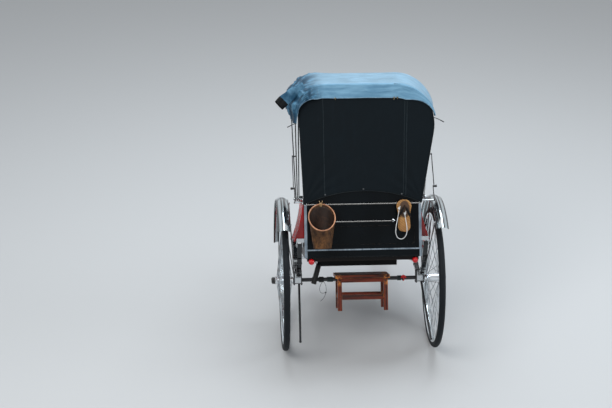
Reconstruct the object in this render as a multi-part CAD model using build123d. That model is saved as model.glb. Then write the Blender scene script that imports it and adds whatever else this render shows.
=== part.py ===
from build123d import *
import os
from math import asin, atan2, cos, degrees, hypot, radians, sin, sqrt

os.makedirs("parts", exist_ok=True)

# A two-seat pulled rickshaw. All lengths are in millimetres.
# It is laid out level, as it is pulled: +X to its right, +Y forward, +Z up, axle over y = 0, road at z = 0.
# At the end everything pitches nose down about the axle, until the shaft tips stand on the floor.

# Wheels and axle
WHEEL_RADIUS = 560
TRACK = 1190
TYRE_WIDTH = 50
TYRE_DEPTH = 42
TYRE_SHOULDER = 14
RIM_WIDTH = 40
RIM_DEPTH = 26
SPOKE_COUNT = 40
SPOKE_RADIUS = 2
SPOKE_LACING = 38
SPOKE_HEAD_GAP = 1.5
SPOKE_HOLE_INSET = 6
SPOKE_RIM_OFFSET = 5
NIPPLE_RADIUS = 4
NIPPLE_LENGTH = 14
NIPPLE_GAP = 0.8
HUB_BARREL_RADIUS = 30
HUB_FLANGE_RADIUS = 50
HUB_FLANGE_HALF_GAP = 48
HUB_FLANGE_THICK = 5
HUB_INNER_REACH = 70
HUB_OUTER_REACH = 66
HUB_CAP_RADIUS = 27
HUB_CAP_LENGTH = 36
HUB_CAP_EDGE = (8, 10)  # along the axle and in radius
HUB_END_TAPER = 4
SPINDLE_RADIUS = 10
RUNNING_CLEARANCE = 0.05
AXLE_RADIUS = 15
COLLAR_RADIUS = 20
COLLAR_LENGTH = 5
END_PLAY = 1.5
SEAT_GAP = 0.3

# Widths that follow from the track, each the one before less the room between the two pieces
SPRING_INSET = 108
SPRING_X = TRACK / 2 - SPRING_INSET
BODY_INSET = 39
BODY_HALF = SPRING_X - BODY_INSET
SHAFT_INSET = 48
SHAFT_X = BODY_HALF - SHAFT_INSET
FOOT_INSET = 80
FOOT_HALF = SHAFT_X - FOOT_INSET

# Springs and irons
SPRING_WIDTH = 36
LEAF_THICK = 7
LEAF_ANGLES = (65, 50, 35, 21)
SPRING_HALF_SPAN = 400
SPRING_RISE = 255
SPRING_PAD = 8
EYE_OUTER = 15
EYE_BORE = 8
CHEEK_THICK = 5
CHEEK_GAP = 1
HANGER_ARM = 30
HANGER_LIFT = 8
FRONT_ARM_DROP = 14
FRONT_ARM_DEPTH = 26
CLAMP_OVERHANG = 6
CLAMP_HALF_LENGTH = 34
CLAMP_GAP = 3
CLAMP_CAP = 9
CLAMP_KEEPER = 8

# Shafts
SHAFT_RADIUS = 23
SHAFT_TIP_Y = 1950
SHAFT_TIP_Z = 812
SHAFT_ROUTE = (  # x, y, z of the right shaft's centre line, from behind to the start of its ferrule
    (SHAFT_X, -440, 737),
    (SHAFT_X, 150, 730),
    (SHAFT_X - 32, 700, 688),
    (SHAFT_X - 82, 1200, 735),
    (SHAFT_X - 112, 1700, 797),
    (SHAFT_X - 116, 1890, 809.4),
)
SHAFT_BENDS = (500, 500, 700, 700)
FERRULE_RADIUS = 25
FERRULE_OVERLAP = 30
CROSSBAR_Y = 1800
CROSSBAR_RADIUS = 16
SLEEVE_HALF_LENGTH = 32
SLEEVE_WALL = 4
BEAM_ROWS = ((-385, 50), (60, 50))  # y and length along y
BEAM_DEPTH = 28

# Body
BODY_REAR = -450
BODY_FRONT = 172
SILL_Z = 765
SILL_TOP = 822
TRIM_TOP = 832
TRIM_THICK = 10
SILL_THICK = 8
BACK_TOP_EDGE = 1213
BACK_TOP_MID = 1300
PANEL = 18
POST = 20
ARMREST_REAR_Z = 1240
ARMREST_FRONT_Z = 1178
ARMREST_END = 112  # where the armrest's straight top ends, behind the side's front
SCROLL_NOSE = (26, 44)  # how far behind the front and below the armrest
SCROLL_TIP = 140
SCROLL_WAIST = (22, 270)
SIDE_FOOT = 30
SKIRT_TOP_Z = 1168
SKIRT_LOW_Z = 890
SKIRT_REACH = 70
SKIRT_HOLLOW = 0.36
SKIRT_THICK = 8
SKIRT_REAR = -340
SKIRT_FRONT = 150
SEAT_DECK_Z = 900
SEAT_FRONT = 120
SEAT_BOARD = 16
FOOT_Z = 655
FOOT_FRONT = 770
FOOT_SIDE_Z = 748
DASH_REACH = 100
DASH_TOP = 900
FOOT_WALL = 14
FOOT_SIDE_DROP = 40
FOOT_SIDE_RUN = (150, 200)  # length of the curves at the back and at the front
FOOT_BACK_CURVE = (40, 26)
FOOT_DASH_CURVE = (60, 22)
DASH_EDGE = 30

# Upholstery
CUSHION_THICK = 95
CUSHION_GAP = 2
CUSHION_SIDE_GAP = 6
CUSHION_OVERHANG = 12
CUSHION_ROUND = 26
BACK_CUSHION_ROUND = 30
BACK_CUSHION_THICK = 90
BACK_CUSHION_HEIGHT = 300
ARM_PAD_RADIUS = 24
ARM_PAD_GAP = 10
ARM_PAD_END = 4

# Hood
PIVOT_Y = -230
PIVOT_Z = 1215
PIVOT_PIN_RADIUS = 8
PIVOT_EYE_RADIUS = 20
PIVOT_BOSS_RADIUS = 24
PIVOT_HEAD = (3, 4)  # thickness, and how far it stands out from the pin
PIVOT_END = 8
BRACKET_THICK = 6
BRACKET_EDGES = (18, 20, 16, 4)  # behind the strut's foot, in front of, below and above
BOW_THICK = 8
BOW_WIDTH = 26
BOW_PITCH = 12
HOOD_FLARE = 0.08
HOOD_LEAN = 0.08
BOW_NAMES = ("bow_rear", "bow_mid", "bow_front")
BOW_REACH = (885, 1000, 1115)
BOW_ANGLES = (100, 76, 50)
BOW_OFFSET = 30
BOW_INNER_X = BODY_HALF + BOW_OFFSET
SHOULDER_LEFT = 185
SHOULDER_RIGHT = 300
CLOTH_THICK = 4
CLOTH_GAP = 0.95
CLOTH_DROPS = (250, 375)
COVER_GAP = 0.7
COVER_LIFT = 4
COVER_THICK = 4
COVER_DROPS = (400, 388)
COVER_LEAD = 0.14
COVER_TAIL = 125
COVER_TAIL_STEP = 60
COVER_TURN = 2.5  # how far the cover turns over the rear bow, in half widths of its strip
COVER_TUCK = 3
BACK_CLOTH_HEM = 25
BACK_CLOTH_LOW_HALF = BODY_HALF + 4
BACK_CLOTH_TUCK = 2

# Struts that hold the hood up
STRUT_FOOT_Y = -320
STRUT_FOOT_Z = 1190
STRUT_PIN_REACH = 340
STRUT_SHARE = 0.3
STRUT_WIDTH = 14
STRUT_THICK = 6
STRUT_PIN_RADIUS = 5
STRUT_GAP = 5
STRUT_SIDE_GAP = 1
STRUT_PIN_END = 2
STRUT_EYE_WALL = 1
STRUT_KNOB_RADIUS = 9
STRUT_KNOB_LENGTH = 14

# Mudguards
GUARD_OFFSET = 11
GUARD_X = TRACK / 2 + GUARD_OFFSET
GUARD_WIDTH = 92
GUARD_INNER = 640
GUARD_CROWN = 20
GUARD_THICK = 4
GUARD_REAR_ANGLE = 50
GUARD_FRONT_ANGLE = 66
STAY_RADIUS = 4
STAY_RING = 6
STAY_RING_WALL = 4
STAY_REACH = 4
STAY_ANGLES = (-44, -16, 52)

# Rails and what hangs behind
RAIL_RADIUS = 4.5
RAIL_REACH = 50
UPPER_RAIL_Z = 1177
UPPER_RAIL_HALF = BODY_HALF - 10
LOWER_RAIL_Z = 1044
LOWER_RAIL_HALF = 232
RAIL_BEND = 24
BASKET_X = -325
BASKET_TOP_RADIUS = 116
BASKET_LOW_RADIUS = 68
BASKET_TOP_Z = 1184
BASKET_LIP_Z = 962
BASKET_LOW_Z = 852
BASKET_WALL = 6
BASKET_CUT = (200, 80)  # half width and height of the block that cuts the mouth
BASKET_CUT_GAP = 2
SANDAL_X = 303
SANDAL_TOP_Z = 1206
SANDAL_LENGTH = 245
SANDAL_WIDTH = 104
SANDAL_THICK = 22
SANDAL_SHIFT = 9
SANDAL_WAIST = 0.36
SANDAL_WAIST_DROP = 8
SANDAL_HEEL = 0.8
CORD_RADIUS = 2.75
CORD_BEND = 0.45
CORD_ROUTE = (  # x and z, and how far it leans in from the outer sole's face
    (268, 1135, 0),
    (262, 1098, 0),
    (254, 1055, 0),
    (244, 1012, 0),
    (239, 972, 0),
    (241, 942, 4),
    (253, 916, 14),
    (276, 904, 19),
    (300, 909, 16),
    (317, 929, 8),
    (325, 955, 0),
    (326, 990, 0),
    (321, 1028, 0),
    (315, 1062, 0),
    (311, 1094, 0),
)

# Stool and the small things on the axle
STOOL_X = 20
STOOL_LENGTH = 430
STOOL_DEPTH = 280
STOOL_TOP_THICK = 26
STOOL_HEIGHT = 284
STOOL_LEG = 34
STOOL_LEG_INSET = 16
STOOL_RAIL_Z = 424
STOOL_RAIL_HEIGHT = 40
STOOL_RAIL_THICK = 20
GRIP_X = -343
GRIP_RADIUS = 20
GRIP_LENGTH = 150
GRIP_TILT = 16
GRIP_LOW_Z = 530
GRIP_GAP = 4
GRIP_CLAMP_HALF = 15
GRIP_CLAMP_WALL = 6
STRAP_PLACES = ((-300, 40), (-230, 46), (322, 30), (356, 18))  # x and length along the axle
STRAP_THICK = 5
AXLE_CORD_RADIUS = 1.6
AXLE_CORD_ROUTE = (  # x, y and z, from its free end up, round and back to the knot
    (-310, -13, 388),
    (-291, -13, 403),
    (-273, -13, 430),
    (-264, -13, 459),
    (-261, -13, 490),
    (-267, -13, 519),
    (-285, -14, 551.5),
    (-305, -14, 523),
    (-317, -15, 492),
    (-312, -15, 463),
    (-295, -16, 449),
    (-272, -18, 455),
)
TIP_BAR_RADIUS = 9
TIP_BAR_FOOT_Y = -250
TIP_BAR_FOOT_Z = 100
TIP_BAR_FOOT_WALL = 2
TIP_BAR_HEAD_Y = -8
TIP_BARS = (  # side, distance from the middle at the axle and at the foot
    (-1, SPRING_X - 9, SPRING_X - 1),
    (1, SPRING_X + 13, SPRING_X + 51),
)

SIDES = (-1, 1)
SIDE_NAMES = {-1: "left", 1: "right"}

# The pitch at which the two ferrule tips, spheres of FERRULE_RADIUS, touch the floor
TIP_RISE = SHAFT_TIP_Z - WHEEL_RADIUS
PARK_PITCH = atan2(TIP_RISE, SHAFT_TIP_Y) + asin((WHEEL_RADIUS - FERRULE_RADIUS) / hypot(SHAFT_TIP_Y, TIP_RISE))
TIP_FORWARD = SHAFT_TIP_Y * cos(PARK_PITCH) + TIP_RISE * sin(PARK_PITCH) + FERRULE_RADIUS
# The box of the parked rickshaw runs from the tyres' rear to the ferrules' front
Y_SHIFT = (WHEEL_RADIUS - TIP_FORWARD) / 2
PARK = Pos(0, Y_SHIFT, WHEEL_RADIUS) * Rot(-degrees(PARK_PITCH), 0, 0) * Pos(0, 0, -WHEEL_RADIUS)


def box(x0, x1, y0, y1, z0, z1):
    """A box between two corners."""
    return Pos((x0 + x1) / 2, (y0 + y1) / 2, (z0 + z1) / 2) * Box(abs(x1 - x0), abs(y1 - y0), abs(z1 - z0))


def side_box(side, x0, x1, y0, y1, z0, z1):
    """A box on one side, with x counted outwards from the middle."""
    return box(side * x0, side * x1, y0, y1, z0, z1)


def bar_x(x0, x1, y, z, radius):
    """A round bar along X."""
    return Pos((x0 + x1) / 2, y, z) * Rot(0, 90, 0) * Cylinder(radius, abs(x1 - x0))


def rod(start, end, radius):
    """A round rod between two points."""
    a, b = Vector(*start), Vector(*end)
    return Plane(origin=(a + b) / 2, z_dir=b - a) * Cylinder(radius, (b - a).length)


def yz_plate(side, inner, outer, outline):
    """A plate on one side, from an outline in the y, z plane."""
    face = make_face(outline)
    low, high = sorted((side * inner, side * outer))
    return Pos(low, 0, 0) * extrude(face, high - low, dir=(1, 0, 0))


def yz(y, z):
    """A point in the plane x = 0."""
    return (0, y, z)


def polar_yz(radius, angle, y=0.0, z=0.0):
    """A point in the plane x = 0 at an angle above +Y from a centre."""
    return (0, y + radius * cos(radians(angle)), z + radius * sin(radians(angle)))


def export(name, *shapes):
    """Write one node, pitched to the parked pose."""
    solids = [solid for shape in shapes for solid in shape.solids()]
    parked = [PARK * solid for solid in solids]
    export_step(parked[0] if len(parked) == 1 else Compound(parked), f"parts/{name}.step")


# Wheels

RIM_OUTER = WHEEL_RADIUS - TYRE_DEPTH - SEAT_GAP
RIM_INNER = RIM_OUTER - RIM_DEPTH
TYRE_INNER = WHEEL_RADIUS - TYRE_DEPTH
WHEEL_X = TRACK / 2
HUB_END_X = WHEEL_X - HUB_INNER_REACH


def wheel_frame(side):
    """The wheel's own frame: its first axis points outwards along the axle, its second up."""
    return Plane(origin=(side * WHEEL_X, 0, WHEEL_RADIUS), x_dir=(side, 0, 0), z_dir=(0, -side, 0))


def wheel_turned(side, outline):
    """A closed outline of distance outwards and radius, turned about the axle."""
    return revolve(wheel_frame(side) * make_face(outline), Axis((0, 0, WHEEL_RADIUS), (1, 0, 0)))


def tyre(side):
    """Solid rubber tyre with a round tread."""
    half = TYRE_WIDTH / 2
    shoulder = TYRE_INNER + TYRE_SHOULDER
    outline = [
        Line((-RIM_WIDTH / 2, TYRE_INNER), (RIM_WIDTH / 2, TYRE_INNER)),
        Line((RIM_WIDTH / 2, TYRE_INNER), (half, shoulder)),
        ThreePointArc((half, shoulder), (0, WHEEL_RADIUS), (-half, shoulder)),
        Line((-half, shoulder), (-RIM_WIDTH / 2, TYRE_INNER)),
    ]
    return wheel_turned(side, outline)


def rim(side):
    """Hollow rim, with an outer channel for the tyre."""
    half = RIM_WIDTH / 2
    points = [
        (-half, RIM_OUTER),
        (half, RIM_OUTER),
        (half, RIM_OUTER - RIM_DEPTH / 2),
        (half / 2, RIM_INNER),
        (-half / 2, RIM_INNER),
        (-half, RIM_OUTER - RIM_DEPTH / 2),
    ]
    return wheel_turned(side, [Polyline(*points, close=True)])


def hub(side):
    """Barrel with two spoke flanges and a cap, bored for the spindle."""
    bore = SPINDLE_RADIUS + RUNNING_CLEARANCE
    gap, thick = HUB_FLANGE_HALF_GAP, HUB_FLANGE_THICK
    cap_start = HUB_OUTER_REACH
    cap_end = HUB_OUTER_REACH + HUB_CAP_LENGTH
    points = [
        (-HUB_INNER_REACH, bore),
        (-HUB_INNER_REACH, HUB_BARREL_RADIUS - HUB_END_TAPER),
        (-gap - thick, HUB_BARREL_RADIUS),
        (-gap - thick, HUB_FLANGE_RADIUS),
        (-gap, HUB_FLANGE_RADIUS),
        (-gap, HUB_BARREL_RADIUS),
        (gap, HUB_BARREL_RADIUS),
        (gap, HUB_FLANGE_RADIUS),
        (gap + thick, HUB_FLANGE_RADIUS),
        (gap + thick, HUB_BARREL_RADIUS),
        (cap_start, HUB_BARREL_RADIUS),
        (cap_start, HUB_CAP_RADIUS),
        (cap_end - HUB_CAP_EDGE[0], HUB_CAP_RADIUS),
        (cap_end, HUB_CAP_RADIUS - HUB_CAP_EDGE[1]),
        (cap_end, 0),
        (cap_start, 0),
        (cap_start, bore),
    ]
    return wheel_turned(side, [Polyline(*points, close=True)])


def spokes(side):
    """Wire spokes laced tangentially from both flanges, each with its nipple at the rim."""
    frame = wheel_frame(side)
    made = []
    for index in range(SPOKE_COUNT):
        rim_angle = 360 / SPOKE_COUNT * index
        flange = 1 if index % 2 else -1
        lead = 1 if index // 2 % 2 else -1
        hub_angle = rim_angle + lead * SPOKE_LACING
        if lead > 0:
            offset = HUB_FLANGE_HALF_GAP + HUB_FLANGE_THICK + SPOKE_RADIUS + SPOKE_HEAD_GAP
        else:
            offset = HUB_FLANGE_HALF_GAP - SPOKE_RADIUS - SEAT_GAP
        foot = HUB_FLANGE_RADIUS - SPOKE_HOLE_INSET
        tip = RIM_INNER - NIPPLE_GAP
        start = Vector(flange * offset, foot * cos(radians(hub_angle)), foot * sin(radians(hub_angle)))
        end = Vector(flange * SPOKE_RIM_OFFSET, tip * cos(radians(rim_angle)), tip * sin(radians(rim_angle)))
        along = (end - start).normalized()
        neck = end - along * NIPPLE_LENGTH
        points = [frame.from_local_coords(Vector(p.X, p.Y, p.Z)) for p in (start, neck, end)]
        wire = rod(tuple(points[0]), tuple(points[1]), SPOKE_RADIUS)
        nipple = rod(tuple(points[1]), tuple(points[2]), NIPPLE_RADIUS)
        made.append(wire + nipple)
    return made


def axle():
    """Straight bar between the springs, with a collar and a spindle at each end."""
    collar_end = HUB_END_X - END_PLAY
    spindle_end = WHEEL_X + HUB_OUTER_REACH - END_PLAY
    points = [
        (0, 0),
        (0, AXLE_RADIUS),
        (collar_end - COLLAR_LENGTH, AXLE_RADIUS),
        (collar_end - COLLAR_LENGTH, COLLAR_RADIUS),
        (collar_end, COLLAR_RADIUS),
        (collar_end, SPINDLE_RADIUS),
        (spindle_end, SPINDLE_RADIUS),
        (spindle_end, 0),
    ]
    half = revolve(Plane.XZ * make_face(Polyline(*points, close=True)), Axis.X)
    return Pos(0, 0, WHEEL_RADIUS) * (half + mirror(half, Plane.YZ))


# Springs and irons

AXLE_TOP = WHEEL_RADIUS + AXLE_RADIUS
STACK_BOTTOM = AXLE_TOP + SPRING_PAD
MAIN_LEAF_Z = STACK_BOTTOM + LEAF_THICK * (len(LEAF_ANGLES) - 1)
MAIN_LEAF_RADIUS = (SPRING_HALF_SPAN**2 + SPRING_RISE**2) / (2 * SPRING_RISE)
LEAF_CENTRE_Z = MAIN_LEAF_Z + MAIN_LEAF_RADIUS
EYE_ANGLE = LEAF_ANGLES[0]
EYE_REACH = MAIN_LEAF_RADIUS + LEAF_THICK - EYE_OUTER
EYE_Y = EYE_REACH * sin(radians(EYE_ANGLE))
EYE_Z = LEAF_CENTRE_Z - EYE_REACH * cos(radians(EYE_ANGLE))


def leaf_spring(side):
    """Half-elliptic spring: leaves of one thickness, each shorter and lower than the last, with two eyes."""
    spring = None
    for row, angle in enumerate(LEAF_ANGLES):
        inner = MAIN_LEAF_RADIUS + row * LEAF_THICK
        outer = inner + LEAF_THICK
        ends = (-90 - angle, -90 + angle)
        corners = [polar_yz(r, a, 0, LEAF_CENTRE_Z) for r in (inner, outer) for a in (*ends, -90)]
        outline = [
            ThreePointArc(corners[0], corners[2], corners[1]),
            Line(corners[1], corners[4]),
            ThreePointArc(corners[4], corners[5], corners[3]),
            Line(corners[3], corners[0]),
        ]
        leaf = yz_plate(side, SPRING_X - SPRING_WIDTH / 2, SPRING_X + SPRING_WIDTH / 2, outline)
        spring = leaf if spring is None else spring + leaf
    x0, x1 = side * (SPRING_X - SPRING_WIDTH / 2), side * (SPRING_X + SPRING_WIDTH / 2)
    for end in (-1, 1):
        spring += bar_x(x0, x1, end * EYE_Y, EYE_Z, EYE_OUTER)
    for end in (-1, 1):
        spring -= bar_x(x0 - side, x1 + side, end * EYE_Y, EYE_Z, EYE_BORE)
    return spring


def spring_clamp(side):
    """Pad, top plate and two U-bolts that hold a spring on the axle."""
    half_x = SPRING_WIDTH / 2 + CLAMP_OVERHANG
    half_y = CLAMP_HALF_LENGTH
    x0, x1 = SPRING_X - half_x, SPRING_X + half_x
    pad = side_box(side, x0, x1, -half_y, half_y, WHEEL_RADIUS, STACK_BOTTOM)
    pad -= bar_x(side * (x0 - 1), side * (x1 + 1), 0, WHEEL_RADIUS, AXLE_RADIUS + SEAT_GAP)
    stack = leaf_spring(side)
    top_z = MAIN_LEAF_Z + LEAF_THICK
    cap = side_box(side, x0, x1, -half_y, half_y, STACK_BOTTOM, top_z + CLAMP_CAP)
    cap -= side_box(side, SPRING_X - SPRING_WIDTH / 2 - SEAT_GAP, SPRING_X + SPRING_WIDTH / 2 + SEAT_GAP,
                    -half_y - 1, half_y + 1, STACK_BOTTOM - 1, top_z + CLAMP_GAP)
    keeper = side_box(side, x0, x1, -half_y, half_y, WHEEL_RADIUS - AXLE_RADIUS - CLAMP_KEEPER, WHEEL_RADIUS)
    keeper -= bar_x(side * (x0 - 1), side * (x1 + 1), 0, WHEEL_RADIUS, AXLE_RADIUS + SEAT_GAP)
    return (pad + cap + keeper) - stack


def rear_hanger(side):
    """Box arm from the body's side with two cheeks and the pin of the spring's rear eye."""
    inner = SPRING_X - SPRING_WIDTH / 2 - CHEEK_GAP - CHEEK_THICK
    outer = SPRING_X + SPRING_WIDTH / 2 + CHEEK_GAP + CHEEK_THICK
    arm_z = EYE_Z + EYE_OUTER + HANGER_LIFT
    y0, y1 = -EYE_Y - HANGER_ARM / 2, -EYE_Y + HANGER_ARM / 2
    iron = side_box(side, BODY_HALF, outer, y0, y1, arm_z, arm_z + HANGER_ARM)
    for x in (inner, outer - CHEEK_THICK):
        iron += side_box(side, x, x + CHEEK_THICK, y0, y1, EYE_Z - EYE_OUTER, arm_z)
    return iron + bar_x(side * inner, side * outer, -EYE_Y, EYE_Z, EYE_BORE - SEAT_GAP)


def shaft_x_at(y):
    """The shaft's distance from the middle at a y between two points of its route."""
    for (xa, ya, _), (xb, yb, _) in zip(SHAFT_ROUTE, SHAFT_ROUTE[1:]):
        if ya <= y <= yb:
            return xa + (xb - xa) * (y - ya) / (yb - ya)
    return SHAFT_ROUTE[-1][0]


def shaft_z_at(y):
    """The shaft's height at a y between two points of its route."""
    for (_, ya, za), (_, yb, zb) in zip(SHAFT_ROUTE, SHAFT_ROUTE[1:]):
        if ya <= y <= yb:
            return za + (zb - za) * (y - ya) / (yb - ya)
    return SHAFT_ROUTE[-1][2]


def front_hanger(side):
    """Arm from the shaft outwards, with two cheeks that rise to the spring's front eye and its pin."""
    inner = SPRING_X - SPRING_WIDTH / 2 - CHEEK_GAP - CHEEK_THICK
    outer = SPRING_X + SPRING_WIDTH / 2 + CHEEK_GAP + CHEEK_THICK
    y0, y1 = EYE_Y - HANGER_ARM / 2, EYE_Y + HANGER_ARM / 2
    low = shaft_z_at(EYE_Y) - FRONT_ARM_DROP
    iron = side_box(side, shaft_x_at(EYE_Y), outer, y0, y1, low, low + FRONT_ARM_DEPTH)
    for x in (inner, outer - CHEEK_THICK):
        iron += side_box(side, x, x + CHEEK_THICK, y0, y1, low, EYE_Z + EYE_OUTER)
    iron += bar_x(side * inner, side * outer, EYE_Y, EYE_Z, EYE_BORE - SEAT_GAP)
    return iron - shaft_bar(side, SHAFT_RADIUS + SEAT_GAP)


# Shafts

def shaft_bar(side, radius):
    """A round bar along the shaft's route, its bends as arcs."""
    points = [(side * x, y, z) for x, y, z in SHAFT_ROUTE]
    path = FilletPolyline(*points, radius=list(SHAFT_BENDS))
    start = Vector(*points[0])
    along = Vector(*points[1]) - start
    return sweep(Plane(origin=start, z_dir=along) * Circle(radius), path=path)


def shaft(side):
    """One shaft, with a rounded rear end."""
    bar = shaft_bar(side, SHAFT_RADIUS)
    x, y, z = SHAFT_ROUTE[0]
    return bar + Pos(side * x, y, z) * Sphere(SHAFT_RADIUS)


def crossbar():
    """Bar across the shafts with a sleeve on each, and the ferrules that end the shafts."""
    half = shaft_x_at(CROSSBAR_Y)
    z = shaft_z_at(CROSSBAR_Y)
    made = bar_x(-half, half, CROSSBAR_Y, z, CROSSBAR_RADIUS)
    for side in SIDES:
        x, y, end_z = SHAFT_ROUTE[-1]
        xa, ya, za = SHAFT_ROUTE[-2]
        along = (Vector(side * x, y, end_z) - Vector(side * xa, ya, za)).normalized()
        centre = Vector(side * half, CROSSBAR_Y, z)
        reach = along * SLEEVE_HALF_LENGTH
        made += rod(tuple(centre - reach), tuple(centre + reach), SHAFT_RADIUS + SLEEVE_WALL)
    for side in SIDES:
        made -= shaft_bar(side, SHAFT_RADIUS + SEAT_GAP)
    ferrules = []
    for side in SIDES:
        x, y, z = SHAFT_ROUTE[-1]
        tip = Vector(side * x, SHAFT_TIP_Y, SHAFT_TIP_Z)
        start = Vector(side * x, y, z)
        along = (tip - start).normalized()
        body = rod(tuple(start - along * FERRULE_OVERLAP), tuple(tip), FERRULE_RADIUS)
        body += Pos(*tip) * Sphere(FERRULE_RADIUS)
        ferrules.append(body - shaft_bar(side, SHAFT_RADIUS + SEAT_GAP))
    return [made, *ferrules]


def frame_beams():
    """Cross beams between the shafts and the body, notched over the shafts."""
    made = []
    for y, length in BEAM_ROWS:
        half = BODY_HALF - PANEL
        beam = box(-half, half, y - length / 2, y + length / 2, SILL_Z - BEAM_DEPTH, SILL_Z)
        for side in SIDES:
            beam -= shaft_bar(side, SHAFT_RADIUS + SEAT_GAP)
        made.append(beam)
    return made


# Body

def body_side(side):
    """Side panel with its scrolled armrest front, and the flared skirt outside it."""
    inner = BODY_HALF - PANEL
    rear = BODY_REAR + POST
    top = yz(BODY_FRONT - ARMREST_END, ARMREST_FRONT_Z)
    nose = yz(BODY_FRONT - SCROLL_NOSE[0], ARMREST_FRONT_Z - SCROLL_NOSE[1])
    tip = yz(BODY_FRONT, ARMREST_FRONT_Z - SCROLL_TIP)
    waist = yz(BODY_FRONT - SCROLL_WAIST[0], ARMREST_FRONT_Z - SCROLL_WAIST[1])
    foot = yz(BODY_FRONT - SIDE_FOOT, SILL_Z)
    outline = [
        Line(yz(rear, SILL_Z), yz(rear, ARMREST_REAR_Z)),
        Line(yz(rear, ARMREST_REAR_Z), top),
        ThreePointArc(top, nose, tip),
        ThreePointArc(tip, waist, foot),
        Line(foot, yz(rear, SILL_Z)),
    ]
    panel = yz_plate(side, inner, BODY_HALF, outline)
    mid_z = (SKIRT_TOP_Z + SKIRT_LOW_Z) / 2
    x0, x1 = side * BODY_HALF, side * (BODY_HALF + SKIRT_REACH)
    bulge = side * (BODY_HALF + SKIRT_REACH * SKIRT_HOLLOW)
    step = side * SKIRT_THICK
    skirt_outline = [
        ThreePointArc((x0 - step / 2, 0, SKIRT_TOP_Z), (bulge, 0, mid_z), (x1, 0, SKIRT_LOW_Z)),
        Line((x1, 0, SKIRT_LOW_Z), (x1 + step, 0, SKIRT_LOW_Z)),
        ThreePointArc((x1 + step, 0, SKIRT_LOW_Z), (bulge + step, 0, mid_z), (x0 + step, 0, SKIRT_TOP_Z)),
        Line((x0 + step, 0, SKIRT_TOP_Z), (x0 - step / 2, 0, SKIRT_TOP_Z)),
    ]
    skirt = extrude(make_face(skirt_outline), SKIRT_FRONT - SKIRT_REAR, dir=(0, 1, 0))
    return panel + Pos(0, SKIRT_REAR, 0) * skirt


def body_back():
    """Back panel with an arched top, and the sill board below it."""
    half = BODY_HALF - PANEL
    outline = [
        Line((-half, 0, SILL_Z), (half, 0, SILL_Z)),
        Line((half, 0, SILL_Z), (half, 0, BACK_TOP_EDGE)),
        ThreePointArc((half, 0, BACK_TOP_EDGE), (0, 0, BACK_TOP_MID), (-half, 0, BACK_TOP_EDGE)),
        Line((-half, 0, BACK_TOP_EDGE), (-half, 0, SILL_Z)),
    ]
    panel = Pos(0, BODY_REAR, 0) * extrude(make_face(outline), PANEL, dir=(0, 1, 0))
    return panel + box(-half, half, BODY_REAR - SILL_THICK, BODY_REAR, SILL_Z, SILL_TOP)


def rear_trim():
    """Corner posts and the strip above the sill."""
    made = box(-BODY_HALF, BODY_HALF, BODY_REAR - TRIM_THICK, BODY_REAR, SILL_TOP, TRIM_TOP)
    for side in SIDES:
        post = side_box(side, BODY_HALF - PANEL, BODY_HALF + 2, BODY_REAR, BODY_REAR + POST, SILL_Z, BACK_TOP_EDGE)
        made += post
    return made


def seat_box():
    """Seat deck, front riser and bottom board between the side panels."""
    half = BODY_HALF - PANEL
    back = BODY_REAR + PANEL
    front = SEAT_FRONT
    deck = box(-half, half, back, front, SEAT_DECK_Z - SEAT_BOARD, SEAT_DECK_Z)
    riser = box(-half, half, front - SEAT_BOARD, front, SILL_Z, SEAT_DECK_Z - SEAT_BOARD)
    floor = box(-half, half, back, front - SEAT_BOARD, SILL_Z, SILL_Z + SEAT_BOARD)
    return deck + riser + floor


def footwell():
    """Footboard with low sides and a raked dash in front."""
    back, front = SEAT_FRONT, FOOT_FRONT
    dash_top, dash_edge = yz(front + DASH_REACH, DASH_TOP), yz(front + DASH_REACH - DASH_EDGE, DASH_TOP)
    dash_curve = yz(front - FOOT_DASH_CURVE[0], FOOT_SIDE_Z + FOOT_DASH_CURVE[1])
    side_front, side_back = yz(front - FOOT_SIDE_RUN[1], FOOT_SIDE_Z), yz(back + FOOT_SIDE_RUN[0], FOOT_SIDE_Z)
    back_curve = yz(back + FOOT_BACK_CURVE[0], FOOT_SIDE_Z + FOOT_BACK_CURVE[1])
    back_top = yz(back, SEAT_DECK_Z - FOOT_SIDE_DROP)
    side_outline = [
        Line(yz(back, FOOT_Z), yz(front, FOOT_Z)),
        Line(yz(front, FOOT_Z), dash_top),
        Line(dash_top, dash_edge),
        ThreePointArc(dash_edge, dash_curve, side_front),
        Line(side_front, side_back),
        ThreePointArc(side_back, back_curve, back_top),
        Line(back_top, yz(back, FOOT_Z)),
    ]
    made = yz_plate(1, FOOT_HALF - FOOT_WALL, FOOT_HALF, side_outline)
    made += yz_plate(-1, FOOT_HALF - FOOT_WALL, FOOT_HALF, side_outline)
    floor = box(-FOOT_HALF, FOOT_HALF, back, front, FOOT_Z, FOOT_Z + FOOT_WALL)
    riser = box(-FOOT_HALF, FOOT_HALF, back, back + FOOT_WALL, FOOT_Z, SILL_Z)
    dash_outline = [Polyline(yz(front, FOOT_Z), yz(front + DASH_REACH, DASH_TOP),
                             yz(front + DASH_REACH - FOOT_WALL, DASH_TOP), yz(front - FOOT_WALL, FOOT_Z), close=True)]
    dash = yz_plate(1, -FOOT_HALF, FOOT_HALF, dash_outline)
    return made + floor + riser + dash


def seat_cushion():
    """Plain solid of the seat cushion."""
    half = BODY_HALF - PANEL - CUSHION_SIDE_GAP
    solid = box(-half, half, BODY_REAR + PANEL + CUSHION_GAP, SEAT_FRONT + CUSHION_OVERHANG,
                SEAT_DECK_Z + SEAT_GAP, SEAT_DECK_Z + CUSHION_THICK)
    return fillet(solid.edges().filter_by(Axis.X).group_by(Axis.Z)[-1], CUSHION_ROUND)


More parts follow.
